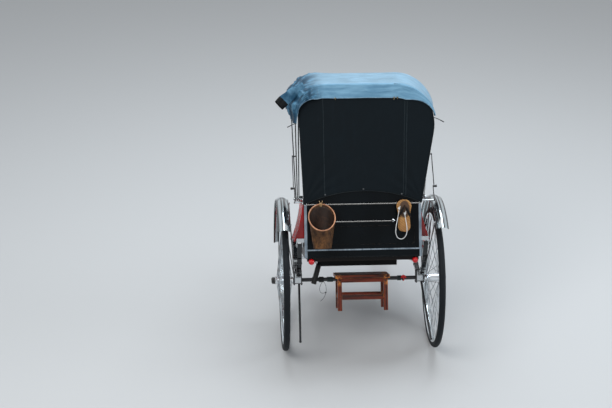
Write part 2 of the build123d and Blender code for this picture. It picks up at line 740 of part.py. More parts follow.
def seat_back():
    """Plain solid of the back cushion."""
    half = BODY_HALF - PANEL - CUSHION_SIDE_GAP
    low = SEAT_DECK_Z + CUSHION_THICK + CUSHION_GAP
    y0 = BODY_REAR + PANEL + SEAT_GAP
    solid = box(-half, half, y0, y0 + BACK_CUSHION_THICK, low, low + BACK_CUSHION_HEIGHT)
    return fillet(solid.edges().filter_by(Axis.X).group_by(Axis.Y)[-1], BACK_CUSHION_ROUND)


def arm_pad(side):
    """Plain solid of the padded roll inside an armrest."""
    y0 = BODY_REAR + POST + BACK_CUSHION_THICK + ARM_PAD_GAP
    y1 = BODY_FRONT - ARMREST_END - ARM_PAD_END
    slope = (ARMREST_FRONT_Z - ARMREST_REAR_Z) / (BODY_FRONT - ARMREST_END - BODY_REAR - POST)
    x = side * (BODY_HALF - PANEL - SEAT_GAP - ARM_PAD_RADIUS)
    lift = -ARM_PAD_RADIUS / 2
    start = (x, y0, ARMREST_REAR_Z + slope * (y0 - BODY_REAR - POST) + lift)
    end = (x, y1, ARMREST_REAR_Z + slope * (y1 - BODY_REAR - POST) + lift)
    return rod(start, end, ARM_PAD_RADIUS)


# Hood

def hood_slope(side):
    """How far a bow's leg moves along X for each millimetre of reach."""
    return side * HOOD_FLARE + HOOD_LEAN


def leg_x(side, base, reach):
    """The leg's x at a reach from the pivot, for a bow with a given base."""
    return side * base + hood_slope(side) * reach


def bow_plane(angle):
    """Plane through the pivot line: its first axis along X, its second away from the pivot."""
    out = Vector(0, cos(radians(angle)), sin(radians(angle)))
    return Plane(origin=(0, PIVOT_Y, PIVOT_Z), x_dir=(1, 0, 0), z_dir=Vector(1, 0, 0).cross(out))


def bow_base(row):
    """Distance of a bow's leg from the middle at the pivot."""
    return BOW_INNER_X + row * BOW_PITCH


def bow(row):
    """U-shaped bow of flat strip, with an eye for the pivot pin at each foot."""
    base, reach = bow_base(row), BOW_REACH[row]
    points = [
        (leg_x(-1, base, 0), 0),
        (leg_x(-1, base, reach), reach),
        (leg_x(1, base, reach), reach),
        (leg_x(1, base, 0), 0),
    ]
    path = FilletPolyline(*points, radius=[SHOULDER_LEFT, SHOULDER_RIGHT])
    along = Vector(*points[1]) - Vector(*points[0])
    section = Plane(origin=points[0], x_dir=(0, 0, 1), z_dir=along) * Rectangle(BOW_WIDTH, BOW_THICK)
    strip = sweep(section, path=path)
    plane = bow_plane(BOW_ANGLES[row])
    made = plane * strip
    for side in SIDES:
        x = side * base
        eye = bar_x(x - BOW_THICK / 2, x + BOW_THICK / 2, PIVOT_Y, PIVOT_Z, PIVOT_EYE_RADIUS)
        made += eye
    for side in SIDES:
        x = side * base
        hole = bar_x(x - BOW_THICK, x + BOW_THICK, PIVOT_Y, PIVOT_Z, PIVOT_PIN_RADIUS + RUNNING_CLEARANCE)
        made -= hole
    if row == 1:
        for side in SIDES:
            made += strut_pin(side)
    return made


def strut_x(side):
    """Middle plane of the struts on one side, clear of the front bow's leg."""
    inner = leg_x(side, bow_base(2), STRUT_PIN_REACH)
    return inner + side * (BOW_THICK / 2 + STRUT_GAP + STRUT_THICK / 2)


STRUT_TOP = polar_yz(STRUT_PIN_REACH, BOW_ANGLES[1], PIVOT_Y, PIVOT_Z)
STRUT_LENGTH = hypot(STRUT_TOP[1] - STRUT_FOOT_Y, STRUT_TOP[2] - STRUT_FOOT_Z)
STRUT_ANGLE = degrees(atan2(STRUT_TOP[2] - STRUT_FOOT_Z, STRUT_TOP[1] - STRUT_FOOT_Y))
KNUCKLE = polar_yz(STRUT_LENGTH * STRUT_SHARE, STRUT_ANGLE, STRUT_FOOT_Y, STRUT_FOOT_Z)


def strut_pin(side):
    """Stub on the middle bow's leg, up to the upper link's face: the linkage is open here."""
    x0 = leg_x(side, bow_base(1), STRUT_PIN_REACH)
    x1 = strut_x(side) + side * (STRUT_THICK / 2 + STRUT_SIDE_GAP - SEAT_GAP)
    return bar_x(x0, x1, STRUT_TOP[1], STRUT_TOP[2], STRUT_PIN_RADIUS)


def link(side, x, start, end, bore_start, bore_end):
    """Flat link between two pins in the plane x."""
    a, b = (Vector(x, start[1], start[2]), Vector(x, end[1], end[2]))
    mid = (a + b) / 2
    length = (b - a).length
    angle = degrees(atan2(end[2] - start[2], end[1] - start[1]))
    bar = Pos(*mid) * Rot(angle, 0, 0) * Box(STRUT_THICK, length, STRUT_WIDTH)
    for point in (start, end):
        bar += bar_x(x - STRUT_THICK / 2, x + STRUT_THICK / 2, point[1], point[2], STRUT_WIDTH / 2 + STRUT_EYE_WALL)
    for point, bore in ((start, bore_start), (end, bore_end)):
        if bore:
            bar -= bar_x(x - STRUT_THICK, x + STRUT_THICK, point[1], point[2], bore)
    return bar


def strut_lower(side):
    """Lower link, with the knuckle's pin and knob."""
    x = strut_x(side)
    foot = yz(STRUT_FOOT_Y, STRUT_FOOT_Z)
    made = link(side, x, foot, KNUCKLE, STRUT_PIN_RADIUS + RUNNING_CLEARANCE, 0)
    knob_start = x + side * (STRUT_THICK * 1.5 + STRUT_PIN_END)
    knob_end = knob_start + side * STRUT_KNOB_LENGTH
    made += bar_x(x, knob_start, KNUCKLE[1], KNUCKLE[2], STRUT_PIN_RADIUS)
    return made + bar_x(knob_start, knob_end, KNUCKLE[1], KNUCKLE[2], STRUT_KNOB_RADIUS)


def strut_upper(side):
    """Upper link beside the lower one, from the knuckle to the middle bow."""
    x = strut_x(side) + side * (STRUT_THICK + STRUT_SIDE_GAP)
    return link(side, x, KNUCKLE, STRUT_TOP, STRUT_PIN_RADIUS + RUNNING_CLEARANCE, 0)


def hood_bracket(side):
    """Boss and pivot pin of the bows, with the arm and pin of the strut's foot."""
    x_boss = bow_base(0) - BOW_THICK / 2 - STRUT_SIDE_GAP
    x_end = bow_base(2) + BOW_THICK / 2 + PIVOT_END
    head, rim_width = PIVOT_HEAD
    behind, before, below, above = BRACKET_EDGES
    made = bar_x(side * BODY_HALF, side * x_boss, PIVOT_Y, PIVOT_Z, PIVOT_BOSS_RADIUS)
    made += bar_x(side * BODY_HALF, side * x_end, PIVOT_Y, PIVOT_Z, PIVOT_PIN_RADIUS)
    made += bar_x(side * (x_end - head), side * x_end, PIVOT_Y, PIVOT_Z, PIVOT_PIN_RADIUS + rim_width)
    strut_end = strut_x(side) + side * (STRUT_THICK / 2 + STRUT_PIN_END)
    arm_end = strut_x(side) - side * (STRUT_THICK / 2 + STRUT_SIDE_GAP)
    made += bar_x(side * BODY_HALF, strut_end, STRUT_FOOT_Y, STRUT_FOOT_Z, STRUT_PIN_RADIUS)
    made += bar_x(side * BODY_HALF, arm_end, STRUT_FOOT_Y, STRUT_FOOT_Z, STRUT_PIN_RADIUS + STRUT_PIN_END)
    plate = side_box(side, BODY_HALF, BODY_HALF + BRACKET_THICK, STRUT_FOOT_Y - behind, PIVOT_Y + before,
                     STRUT_FOOT_Z - below, PIVOT_Z + above)
    return made + plate


def strip_section(base, reach, gap, thick, drops):
    """Closed outline of cloth over a bow: outside it by a gap, down its left and right leg by a drop each."""
    half = BOW_THICK / 2 + gap

    def side_points(side, step, drop):
        top = reach + half + step
        low = reach + half - drop
        x_top = leg_x(side, base, top) + side * (half + step)
        x_low = leg_x(side, base, low) + side * (half + step)
        return (x_low, low), (x_top, top)

    def path(step):
        left_low, left_top = side_points(-1, step, drops[0])
        right_low, right_top = side_points(1, step, drops[1])
        radii = [SHOULDER_LEFT + half + step, SHOULDER_RIGHT + half + step]
        return left_low, right_low, FilletPolyline(left_low, left_top, right_top, right_low, radius=radii)

    inner_left, inner_right, inner = path(0)
    outer_left, outer_right, outer = path(thick)
    return make_face([inner, outer, Line(inner_left, outer_left), Line(inner_right, outer_right)])


def bow_edge(row):
    """Half the angle that a bow's strip takes up at its crown."""
    return degrees(atan2(BOW_WIDTH / 2, BOW_REACH[row]))


def on_bow(row, offset=0.0):
    """Base, reach and angle of a section at a bow, or beside it by an angle."""
    return bow_base(row), BOW_REACH[row], BOW_ANGLES[row] + offset


def between_bows(row_a, row_b, share):
    """Base, reach and angle of a section on the straight line from one bow's crown to another's."""
    a, b = (polar_yz(BOW_REACH[row], BOW_ANGLES[row]) for row in (row_a, row_b))
    y = a[1] + (b[1] - a[1]) * share
    z = a[2] + (b[2] - a[2]) * share
    base = bow_base(row_a) + (bow_base(row_b) - bow_base(row_a)) * share
    return base, hypot(y, z), degrees(atan2(z, y))


def cloth_through(stations, gap, thick, drops):
    """Cloth stretched over a row of sections."""
    sections = [bow_plane(angle) * strip_section(base, reach, gap, thick, drops) for base, reach, angle in stations]
    return loft(sections, ruled=True)


def hood_cloth_front():
    """Top cloth from the middle bow to the front bow."""
    stations = (on_bow(1), on_bow(1, -bow_edge(1)), on_bow(2, bow_edge(2)), on_bow(2, -bow_edge(2)))
    return cloth_through(stations, CLOTH_GAP, CLOTH_THICK, CLOTH_DROPS)


def hood_cloth_rear():
    """Top cloth from the rear bow to the middle bow."""
    stations = (on_bow(0, bow_edge(0)), on_bow(0, -bow_edge(0)), on_bow(1, bow_edge(1)), on_bow(1))
    return cloth_through(stations, CLOTH_GAP, CLOTH_THICK, CLOTH_DROPS)


CROWN = polar_yz(BOW_REACH[0], BOW_ANGLES[0], PIVOT_Y, PIVOT_Z)
BACK_CLOTH_TOP_Y = CROWN[1] - BOW_WIDTH / 2 - CLOTH_GAP - BACK_CLOTH_TUCK
BACK_CLOTH_TOP_Z = CROWN[2] + BOW_THICK / 2
BACK_CLOTH_SLOPE = (BACK_CLOTH_TOP_Y - BODY_REAR + CLOTH_GAP) / (BACK_CLOTH_TOP_Z - BACK_TOP_MID)


def back_cloth_y(z):
    """The inner face of the back cloth, which just clears the panel's arched top."""
    return BODY_REAR - CLOTH_GAP + (z - BACK_TOP_MID) * BACK_CLOTH_SLOPE


def back_sheet(outline, gap, thick):
    """A sheet parallel to the back cloth, from an outline in x and z."""
    stretch = Vector(0, BACK_CLOTH_SLOPE, 1).normalized()
    plane = Plane(origin=(0, back_cloth_y(0) - gap, 0), x_dir=(1, 0, 0), z_dir=Vector(1, 0, 0).cross(stretch))
    scale_z = sqrt(1 + BACK_CLOTH_SLOPE**2)
    face = plane * scale(make_face(outline), (1, scale_z, 1))
    return extrude(face, thick, dir=(0, -1, 0))


def hood_cloth_back():
    """Back cloth, from the rear bow's crown down outside the back panel, its hem arched like the panel's top."""
    edge = BOW_THICK / 2 + CLOTH_GAP + CLOTH_THICK
    reach = BOW_REACH[0]
    left = leg_x(-1, bow_base(0), reach) - edge
    right = leg_x(1, bow_base(0), reach) + edge
    low = BACK_TOP_EDGE - BACK_CLOTH_HEM
    half = BACK_CLOTH_LOW_HALF
    top = FilletPolyline((-half, low), (left, BACK_CLOTH_TOP_Z), (right, BACK_CLOTH_TOP_Z), (half, low),
                         radius=[SHOULDER_LEFT + edge, SHOULDER_RIGHT + edge])
    hem = ThreePointArc((half, low), (0, BACK_TOP_MID - BACK_CLOTH_HEM), (-half, low))
    return back_sheet([top, hem], 0, CLOTH_THICK)


def vinyl_cover():
    """Cover over both top cloths, and its tail that hangs over the back cloth."""
    gap = CLOTH_GAP + CLOTH_THICK + COVER_GAP
    tail_gap = CLOTH_THICK + COVER_GAP
    lead_base, lead_reach, lead_angle = between_bows(1, 2, COVER_LEAD)
    stations = (
        on_bow(0, COVER_TURN * bow_edge(0)),
        on_bow(0, -bow_edge(0)),
        on_bow(1, bow_edge(1)),
        on_bow(1, -bow_edge(1)),
        (lead_base + COVER_LIFT, lead_reach + COVER_LIFT, lead_angle),
    )
    over = cloth_through(stations, gap, COVER_THICK, COVER_DROPS)
    edge = BOW_THICK / 2 + gap + COVER_THICK
    left = leg_x(-1, bow_base(0), BOW_REACH[0]) - edge
    right = leg_x(1, bow_base(0), BOW_REACH[0]) + edge
    top_z = CROWN[2] + edge - COVER_TUCK
    low_z = top_z - COVER_TAIL
    outline = Polyline((left + COVER_TAIL, low_z), (right - COVER_TAIL, low_z), (right - COVER_TAIL * 0.4, low_z + COVER_TAIL_STEP),
                       (right - COVER_TAIL * 0.7, top_z), (left + COVER_TAIL * 0.5, top_z),
                       (left + COVER_TAIL * 0.3, low_z + COVER_TAIL_STEP), close=True)
    return over + back_sheet([outline], tail_gap, COVER_THICK)


# Mudguards

def mudguard(side):
    """Crowned blade round the top of the wheel."""
    x = GUARD_X - WHEEL_X
    half = GUARD_WIDTH / 2
    inner, thick = GUARD_INNER, GUARD_THICK
    outline = [
        ThreePointArc((x - half, inner), (x, inner + GUARD_CROWN), (x + half, inner)),
        Line((x + half, inner), (x + half, inner + thick)),
        ThreePointArc((x + half, inner + thick), (x, inner + GUARD_CROWN + thick), (x - half, inner + thick)),
        Line((x - half, inner + thick), (x - half, inner)),
    ]
    face = wheel_frame(side) * make_face(outline)
    turn = Axis((0, 0, WHEEL_RADIUS), (1, 0, 0))
    blade = revolve(face, turn, revolution_arc=GUARD_REAR_ANGLE + GUARD_FRONT_ANGLE)
    return blade.rotate(turn, -GUARD_FRONT_ANGLE)


def mudguard_stays(side):
    """Rods from a ring beside the hub to the mudguard's inner edge."""
    ring_x = HUB_END_X - END_PLAY - COLLAR_LENGTH - SEAT_GAP
    ring_radius = COLLAR_RADIUS + STAY_RING_WALL
    made = bar_x(side * (ring_x - STAY_RING), side * ring_x, 0, WHEEL_RADIUS, ring_radius)
    for angle in STAY_ANGLES:
        reach = GUARD_INNER + STAY_REACH
        end_x = GUARD_X - GUARD_WIDTH / 2 - STAY_RADIUS - SEAT_GAP
        a = radians(90 - angle)
        foot = COLLAR_RADIUS + STAY_RING_WALL / 2
        start = (side * (ring_x - STAY_RING / 2), foot * cos(a), WHEEL_RADIUS + foot * sin(a))
        end = (side * end_x, reach * cos(a), WHEEL_RADIUS + reach * sin(a))
        made += rod(start, end, STAY_RADIUS)
    return made - bar_x(side * (ring_x - 2 * STAY_RING), side * (ring_x + STAY_RING), 0, WHEEL_RADIUS, AXLE_RADIUS + SEAT_GAP)


# Fittings behind

def rail(half, z):
    """Round rail standing off the back on its two bent ends."""
    y0, y1 = BODY_REAR - SEAT_GAP, BODY_REAR - RAIL_REACH
    path = FilletPolyline((-half, y0, z), (-half, y1, z), (half, y1, z), (half, y0, z), radius=RAIL_BEND)
    return sweep(Plane(origin=(-half, y0, z), z_dir=(0, -1, 0)) * Circle(RAIL_RADIUS), path=path)


def back_rails():
    """Upper and lower rail."""
    return [rail(UPPER_RAIL_HALF, UPPER_RAIL_Z), rail(LOWER_RAIL_HALF, LOWER_RAIL_Z)]


def basket():
    """Tapered wall basket, hollow, its mouth cut from a high back to a low front lip."""
    height = BASKET_TOP_Z - BASKET_LOW_Z
    taper = (BASKET_TOP_RADIUS - BASKET_LOW_RADIUS) / height
    rail_radius = BASKET_TOP_RADIUS - taper * (BASKET_TOP_Z - UPPER_RAIL_Z)
    centre_y = BODY_REAR - RAIL_REACH - RAIL_RADIUS - SEAT_GAP - rail_radius
    mid = (BASKET_TOP_Z + BASKET_LOW_Z) / 2
    outer = Pos(BASKET_X, centre_y, mid) * Cone(BASKET_LOW_RADIUS, BASKET_TOP_RADIUS, height)
    inner = Pos(BASKET_X, centre_y, mid + BASKET_WALL) * Cone(
        BASKET_LOW_RADIUS - BASKET_WALL, BASKET_TOP_RADIUS - BASKET_WALL, height)
    reach = BASKET_TOP_RADIUS + BASKET_CUT_GAP
    half, rise = BASKET_CUT
    front_y, back_y = centre_y - reach, centre_y + reach
    cut = yz_plate(1, BASKET_X - half, BASKET_X + half, [Polyline(
        yz(front_y, BASKET_LIP_Z), yz(back_y, BASKET_TOP_Z), yz(back_y, BASKET_TOP_Z + rise),
        yz(front_y, BASKET_TOP_Z + rise), close=True)])
    return outer - inner - cut


SANDAL_BACK_Y = BODY_REAR - RAIL_REACH - RAIL_RADIUS - SEAT_GAP
SANDAL_FACE_Y = SANDAL_BACK_Y - 2 * SANDAL_THICK - SEAT_GAP


def sandals():
    """Two soles side by side against the rails, toes up."""
    made = []
    for row in (0, 1):
        x = SANDAL_X + row * SANDAL_SHIFT
        y = SANDAL_BACK_Y - row * (SANDAL_THICK + SEAT_GAP)
        z = SANDAL_TOP_Z - SANDAL_LENGTH / 2
        half, waist, end = SANDAL_WIDTH / 2, SANDAL_WIDTH * SANDAL_WAIST, SANDAL_LENGTH / 2
        heel, low = half * SANDAL_HEEL, -SANDAL_WAIST_DROP
        outline = [
            ThreePointArc((-half, end - half), (0, end), (half, end - half)),
            ThreePointArc((half, end - half), (waist, low), (heel, heel - end)),
            ThreePointArc((heel, heel - end), (0, -end), (-heel, heel - end)),
            ThreePointArc((-heel, heel - end), (-waist, low), (-half, end - half)),
        ]
        face = Plane(origin=(x, y, z), x_dir=(1, 0, 0), z_dir=(0, -1, 0)) * make_face(outline)
        made.append(extrude(face, SANDAL_THICK, dir=(0, -1, 0)))
    return made


def cord_radii(points):
    """Bend radii that leave a straight stretch on both sides of each bend."""
    radii = []
    for a, b, c in zip(points, points[1:], points[2:]):
        before, after = Vector(*b) - Vector(*a), Vector(*c) - Vector(*b)
        half_turn = radians(before.get_angle(after)) / 2
        radii.append(CORD_BEND * min(before.length, after.length) / (sin(half_turn) / cos(half_turn)))
    return radii


def sandal_cord():
    """White cord that hangs as a loop over the outer sole and a little below it."""
    face_y = SANDAL_FACE_Y - CORD_RADIUS - SEAT_GAP
    points = [(x, face_y + inward, z) for x, z, inward in CORD_ROUTE]
    path = FilletPolyline(*points, radius=cord_radii(points))
    start = Vector(*points[0])
    return sweep(Plane(origin=start, z_dir=Vector(*points[1]) - start) * Circle(CORD_RADIUS), path=path)


# Stool and the small things on the axle

def stool():
    """Step stool that straddles the axle: top, four legs and four rails."""
    top_z = AXLE_TOP + SEAT_GAP + STOOL_TOP_THICK
    foot_z = top_z - STOOL_HEIGHT
    half_x, half_y = STOOL_LENGTH / 2, STOOL_DEPTH / 2
    made = box(STOOL_X - half_x, STOOL_X + half_x, -half_y, half_y, top_z - STOOL_TOP_THICK, top_z)
    leg_x0 = half_x - STOOL_LEG_INSET - STOOL_LEG
    leg_y0 = half_y - STOOL_LEG_INSET - STOOL_LEG
    for sx in SIDES:
        for sy in SIDES:
            x0, x1 = STOOL_X + sx * leg_x0, STOOL_X + sx * (leg_x0 + STOOL_LEG)
            made += box(x0, x1, sy * leg_y0, sy * (leg_y0 + STOOL_LEG), foot_z, top_z - STOOL_TOP_THICK)
    rail_in = leg_y0 + (STOOL_LEG - STOOL_RAIL_THICK) / 2
    z0, z1 = STOOL_RAIL_Z - STOOL_RAIL_HEIGHT / 2, STOOL_RAIL_Z + STOOL_RAIL_HEIGHT / 2
    for sy in SIDES:
        made += box(STOOL_X - leg_x0, STOOL_X + leg_x0, sy * rail_in, sy * (rail_in + STOOL_RAIL_THICK), z0, z1)
    for sx in SIDES:
        x0 = STOOL_X + sx * (leg_x0 + (STOOL_LEG - STOOL_RAIL_THICK) / 2)
        made += box(x0, x0 + sx * STOOL_RAIL_THICK, -leg_y0, leg_y0, z0, z1)
    return made


def axle_grip():
    """Short hand grip clamped behind the axle."""
    y = -AXLE_RADIUS - GRIP_RADIUS - GRIP_GAP
    lean = radians(GRIP_TILT)
    start = Vector(GRIP_X - GRIP_LENGTH / 2 * sin(lean), y, GRIP_LOW_Z)
    end = start + Vector(sin(lean), 0, cos(lean)) * GRIP_LENGTH
    grip = rod(tuple(start), tuple(end), GRIP_RADIUS) + Pos(*end) * Sphere(GRIP_RADIUS)
    x = start.X + (WHEEL_RADIUS - GRIP_LOW_Z) * sin(lean) / cos(lean)
    half, outer = GRIP_CLAMP_HALF, AXLE_RADIUS + GRIP_CLAMP_WALL
    clamp = box(x - half, x + half, y, outer, WHEEL_RADIUS - outer, WHEEL_RADIUS + outer)
    return grip + clamp - bar_x(x - 4 * half, x + 4 * half, 0, WHEEL_RADIUS, AXLE_RADIUS + SEAT_GAP)


def axle_straps():
    """Straps wound round the axle."""
    made = []
    for x, length in STRAP_PLACES:
        ring = bar_x(x - length / 2, x + length / 2, 0, WHEEL_RADIUS, AXLE_RADIUS + STRAP_THICK)
        made.append(ring - bar_x(x - length, x + length, 0, WHEEL_RADIUS, AXLE_RADIUS + SEAT_GAP))
    return made


def axle_cord():
    """Thin cord that hangs in a loop from a strap on the axle."""
    path = FilletPolyline(*AXLE_CORD_ROUTE, radius=cord_radii(AXLE_CORD_ROUTE))
    start = Vector(*AXLE_CORD_ROUTE[0])
    section = Plane(origin=start, z_dir=Vector(*AXLE_CORD_ROUTE[1]) - start) * Circle(AXLE_CORD_RADIUS)
    return sweep(section, path=path)


def anti_tip_bars():
    """Bars behind the axle that stop the body from tipping back."""
    made = []
    for side, top_x, foot_x in TIP_BARS:
        start = (side * top_x, TIP_BAR_HEAD_Y, WHEEL_RADIUS - AXLE_RADIUS - CLAMP_KEEPER - SEAT_GAP - TIP_BAR_RADIUS)
        end = (side * foot_x, TIP_BAR_FOOT_Y, TIP_BAR_FOOT_Z)
        bar = rod(start, end, TIP_BAR_RADIUS)
        foot = Pos(*end) * Sphere(TIP_BAR_RADIUS + TIP_BAR_FOOT_WALL)
        head = Pos(*start) * Sphere(TIP_BAR_RADIUS)
        made.append(bar + foot + head)
    return made


def write_all():
    """Make every node."""
    export("axle", axle())
    for side in SIDES:
        name = SIDE_NAMES[side]
        export(f"tyre_{name}", tyre(side))
        export(f"rim_{name}", rim(side))
        export(f"spokes_{name}", *spokes(side))
        export(f"hub_{name}", hub(side))
        export(f"spring_{name}", leaf_spring(side))
        export(f"shaft_{name}", shaft(side))
        export(f"body_side_{name}", body_side(side))
        export(f"mudguard_{name}", mudguard(side))
        export(f"strut_lower_{name}", strut_lower(side))
        export(f"strut_upper_{name}", strut_upper(side))
    export("spring_irons", *[make(side) for side in SIDES for make in (spring_clamp, rear_hanger, front_hanger)])
    export("mudguard_stays", *[mudguard_stays(side) for side in SIDES])
    export("crossbar", *crossbar())
    export("frame_beams", *frame_beams())
    export("body_back", body_back())
    export("rear_trim", rear_trim())
    export("seat_box", seat_box())
    export("footwell", footwell())
    export("seat_cushion", seat_cushion())
    export("seat_back", seat_back())
    export("arm_pads", *[arm_pad(side) for side in SIDES])
    export("hood_brackets", *[hood_bracket(side) for side in SIDES])
    for row, name in enumerate(BOW_NAMES):
        export(name, bow(row))
    export("hood_cloth_rear", hood_cloth_rear())
    export("hood_cloth_front", hood_cloth_front())
    export("hood_cloth_back", hood_cloth_back())
    export("vinyl_cover", vinyl_cover())
    export("sandal_cord", sandal_cord())
    export("back_rails", *back_rails())
    export("basket", basket())
    export("sandals", *sandals())
    export("stool", stool())
    export("axle_grip", axle_grip())
    export("axle_straps", *axle_straps())
    export("axle_cord", axle_cord())
    export("anti_tip_bars", *anti_tip_bars())


write_all()
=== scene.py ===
"""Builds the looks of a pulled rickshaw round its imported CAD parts."""

import math

import bmesh
import bpy
import numpy as np
from bpy.props import FloatProperty, FloatVectorProperty, IntProperty, PointerProperty
from mathutils import Matrix
from mathutils.bvhtree import BVHTree


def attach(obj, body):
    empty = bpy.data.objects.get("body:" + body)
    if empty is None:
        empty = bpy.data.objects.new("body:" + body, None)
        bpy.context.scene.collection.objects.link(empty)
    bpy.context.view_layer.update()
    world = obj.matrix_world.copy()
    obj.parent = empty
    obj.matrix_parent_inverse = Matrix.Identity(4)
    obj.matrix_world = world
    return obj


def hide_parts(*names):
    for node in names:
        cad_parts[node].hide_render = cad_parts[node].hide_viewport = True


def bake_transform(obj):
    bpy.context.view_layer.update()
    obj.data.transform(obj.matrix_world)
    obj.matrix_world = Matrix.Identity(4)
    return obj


bl_info = {
    "name": "Pulled Rickshaw",
    "version": (1, 0, 0),
    "blender": (4, 5, 0),
    "location": "View3D > Sidebar > Rickshaw",
    "description": "Builds the soft goods, fittings and finishes of a pulled rickshaw",
    "category": "Object",
}

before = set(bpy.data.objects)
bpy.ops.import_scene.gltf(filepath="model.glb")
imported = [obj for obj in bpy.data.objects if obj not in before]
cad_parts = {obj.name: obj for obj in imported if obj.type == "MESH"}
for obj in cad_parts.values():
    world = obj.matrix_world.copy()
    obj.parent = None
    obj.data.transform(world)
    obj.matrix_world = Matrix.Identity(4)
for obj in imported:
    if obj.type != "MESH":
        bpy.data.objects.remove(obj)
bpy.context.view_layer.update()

# Sizes are in metres, in the level frame: +X to the rickshaw's right, +Y forward, +Z up, axle over y = 0.
# The parked rickshaw is pitched nose down about the axle, and parked() does that to every point.
PARK_PITCH = math.radians(23.152613597)
PARK_COS, PARK_SIN = math.cos(PARK_PITCH), math.sin(PARK_PITCH)
PARK_SHIFT = -0.6785151954
AXLE_Z = 0.56
BODY_REAR = -0.45
PIVOT_Y, PIVOT_Z = -0.23, 1.215
BOW_REACH = (0.885, 1.0, 1.115)
BOW_ANGLE = (100.0, 76.0, 50.0)
BOW_BASE = (0.478, 0.49, 0.502)
BOW_HALF_THICK = 0.004
HOOD_LEFT_SLOPE, HOOD_RIGHT_SLOPE = 0.0, 0.16
SHOULDERS = (0.185, 0.3)
BACK_SLOPE = 0.064
BACK_ARCH_EDGE, BACK_ARCH_MID = 1.213, 1.3
RAIL_Y = -0.5
UPPER_RAIL_Z, LOWER_RAIL_Z = 1.177, 1.044
CLOTH_THICKNESS = 0.0016
SIDES = (-1, 1)


# Shapes

def parked(points):
    """Level points turned nose down about the axle and shifted: y' = y cos p + h sin p + shift and
    z' = h cos p - y sin p + axle height, where h is the height above the axle."""
    points = np.asarray(points, float)
    y, h = points[..., 1], points[..., 2] - AXLE_Z
    ahead, up = y * PARK_COS + h * PARK_SIN, h * PARK_COS - y * PARK_SIN
    return np.stack([points[..., 0], ahead + PARK_SHIFT, up + AXLE_Z], -1)


def level_points(points):
    """Parked points back in the level frame: the inverse of parked()."""
    y, h = points[:, 1] - PARK_SHIFT, points[:, 2] - AXLE_Z
    return np.stack([points[:, 0], y * PARK_COS - h * PARK_SIN, y * PARK_SIN + h * PARK_COS + AXLE_Z], -1)


def unit(vectors):
    """Vectors divided by their own length."""
    return vectors / np.maximum(np.linalg.norm(vectors, axis=-1, keepdims=True), 1e-12)


def smooth(x):
    """0 below 0, 1 above 1, and 3x^2 - 2x^3 between."""
    x = np.clip(x, 0, 1)
    return x * x * (3 - 2 * x)


def full_turn(count):
    """Evenly spaced angles all round."""
    return np.linspace(0, 2 * np.pi, count, endpoint=False)


def path_length(path):
    return np.linalg.norm(np.diff(path, axis=0), axis=1).sum()


def directions(path, closed=False):
    """The unit direction of a path at each of its points."""
    return unit(np.roll(path, -1, 0) - np.roll(path, 1, 0) if closed else np.gradient(path, axis=0))


def trefoil(count, size, depth=1.0):
    """A closed trefoil knot in the XZ plane, which crosses itself along Y."""
    t = full_turn(count)
    return np.stack([np.sin(t) + 2 * np.sin(2 * t), np.sin(3 * t) * depth, np.cos(t) - 2 * np.cos(2 * t)], -1) * size


def grid(points, close_u=False, close_v=False, size=(1.0, 1.0)):
    """Quads between neighbours of a grid of points. UVs rise evenly along both ways up to size."""
    n, m = points.shape[:2]
    rows, columns = n if close_u else n - 1, m if close_v else m - 1
    i, j = (k.ravel() for k in np.meshgrid(np.arange(rows), np.arange(columns), indexing="ij"))
    corners = ((0, 0), (1, 0), (1, 1), (0, 1))
    faces = np.stack([(i + a) % n * m + (j + b) % m for a, b in corners], 1)
    uv = np.stack([np.stack([(i + a) / rows * size[0], (j + b) / columns * size[1]], 1) for a, b in corners], 1)
    return points.reshape(-1, 3), faces, uv.reshape(-1, 2)


def joined(parts):
    """Several parts as one: vertices in a row, and face numbers moved up by the vertices before."""
    starts = np.cumsum([0] + [len(part[0]) for part in parts[:-1]])
    return (np.concatenate([part[0] for part in parts]),
            np.concatenate([part[1] + start for part, start in zip(parts, starts)]),
            np.concatenate([part[2] for part in parts]))


def tube(path, radius, sides=12, closed=False, across=None, flat=1.0):
    """A circle, or an ellipse flattened by flat, carried square to a path. Rings of no radius shut open ends."""
    path = np.asarray(path, float)
    along = directions(path, closed)
    if across is None:
        across = np.eye(3)[np.argmin(np.abs(along).mean(0))]
    side = unit(np.cross(along, across))
    top = np.cross(side, along)
    radii = np.broadcast_to(np.asarray(radius, float), (len(path),)).copy()
    length = path_length(path)
    if not closed:
        path, side, top = (np.concatenate([a[:1], a, a[-1:]]) for a in (path, side, top))
        radii = np.concatenate([[0], radii, [0]])
    angle = full_turn(sides)
    ring = np.cos(angle)[None, :, None] * side[:, None] + flat * np.sin(angle)[None, :, None] * top[:, None]
    return grid(path[:, None] + radii[:, None, None] * ring, closed, True, (length, 2 * np.pi * radii.max()))


def lathe(profile, sides=24):
    """A profile of radius and height turned about Z."""
    profile = np.asarray(profile, float)
    angle = full_turn(sides)
    points = np.stack([profile[:, :1] * np.cos(angle), profile[:, :1] * np.sin(angle),
                       np.repeat(profile[:, 1:], sides, 1)], -1)
    return grid(points, False, True, (path_length(profile), 2 * np.pi * profile[:, 0].max()))


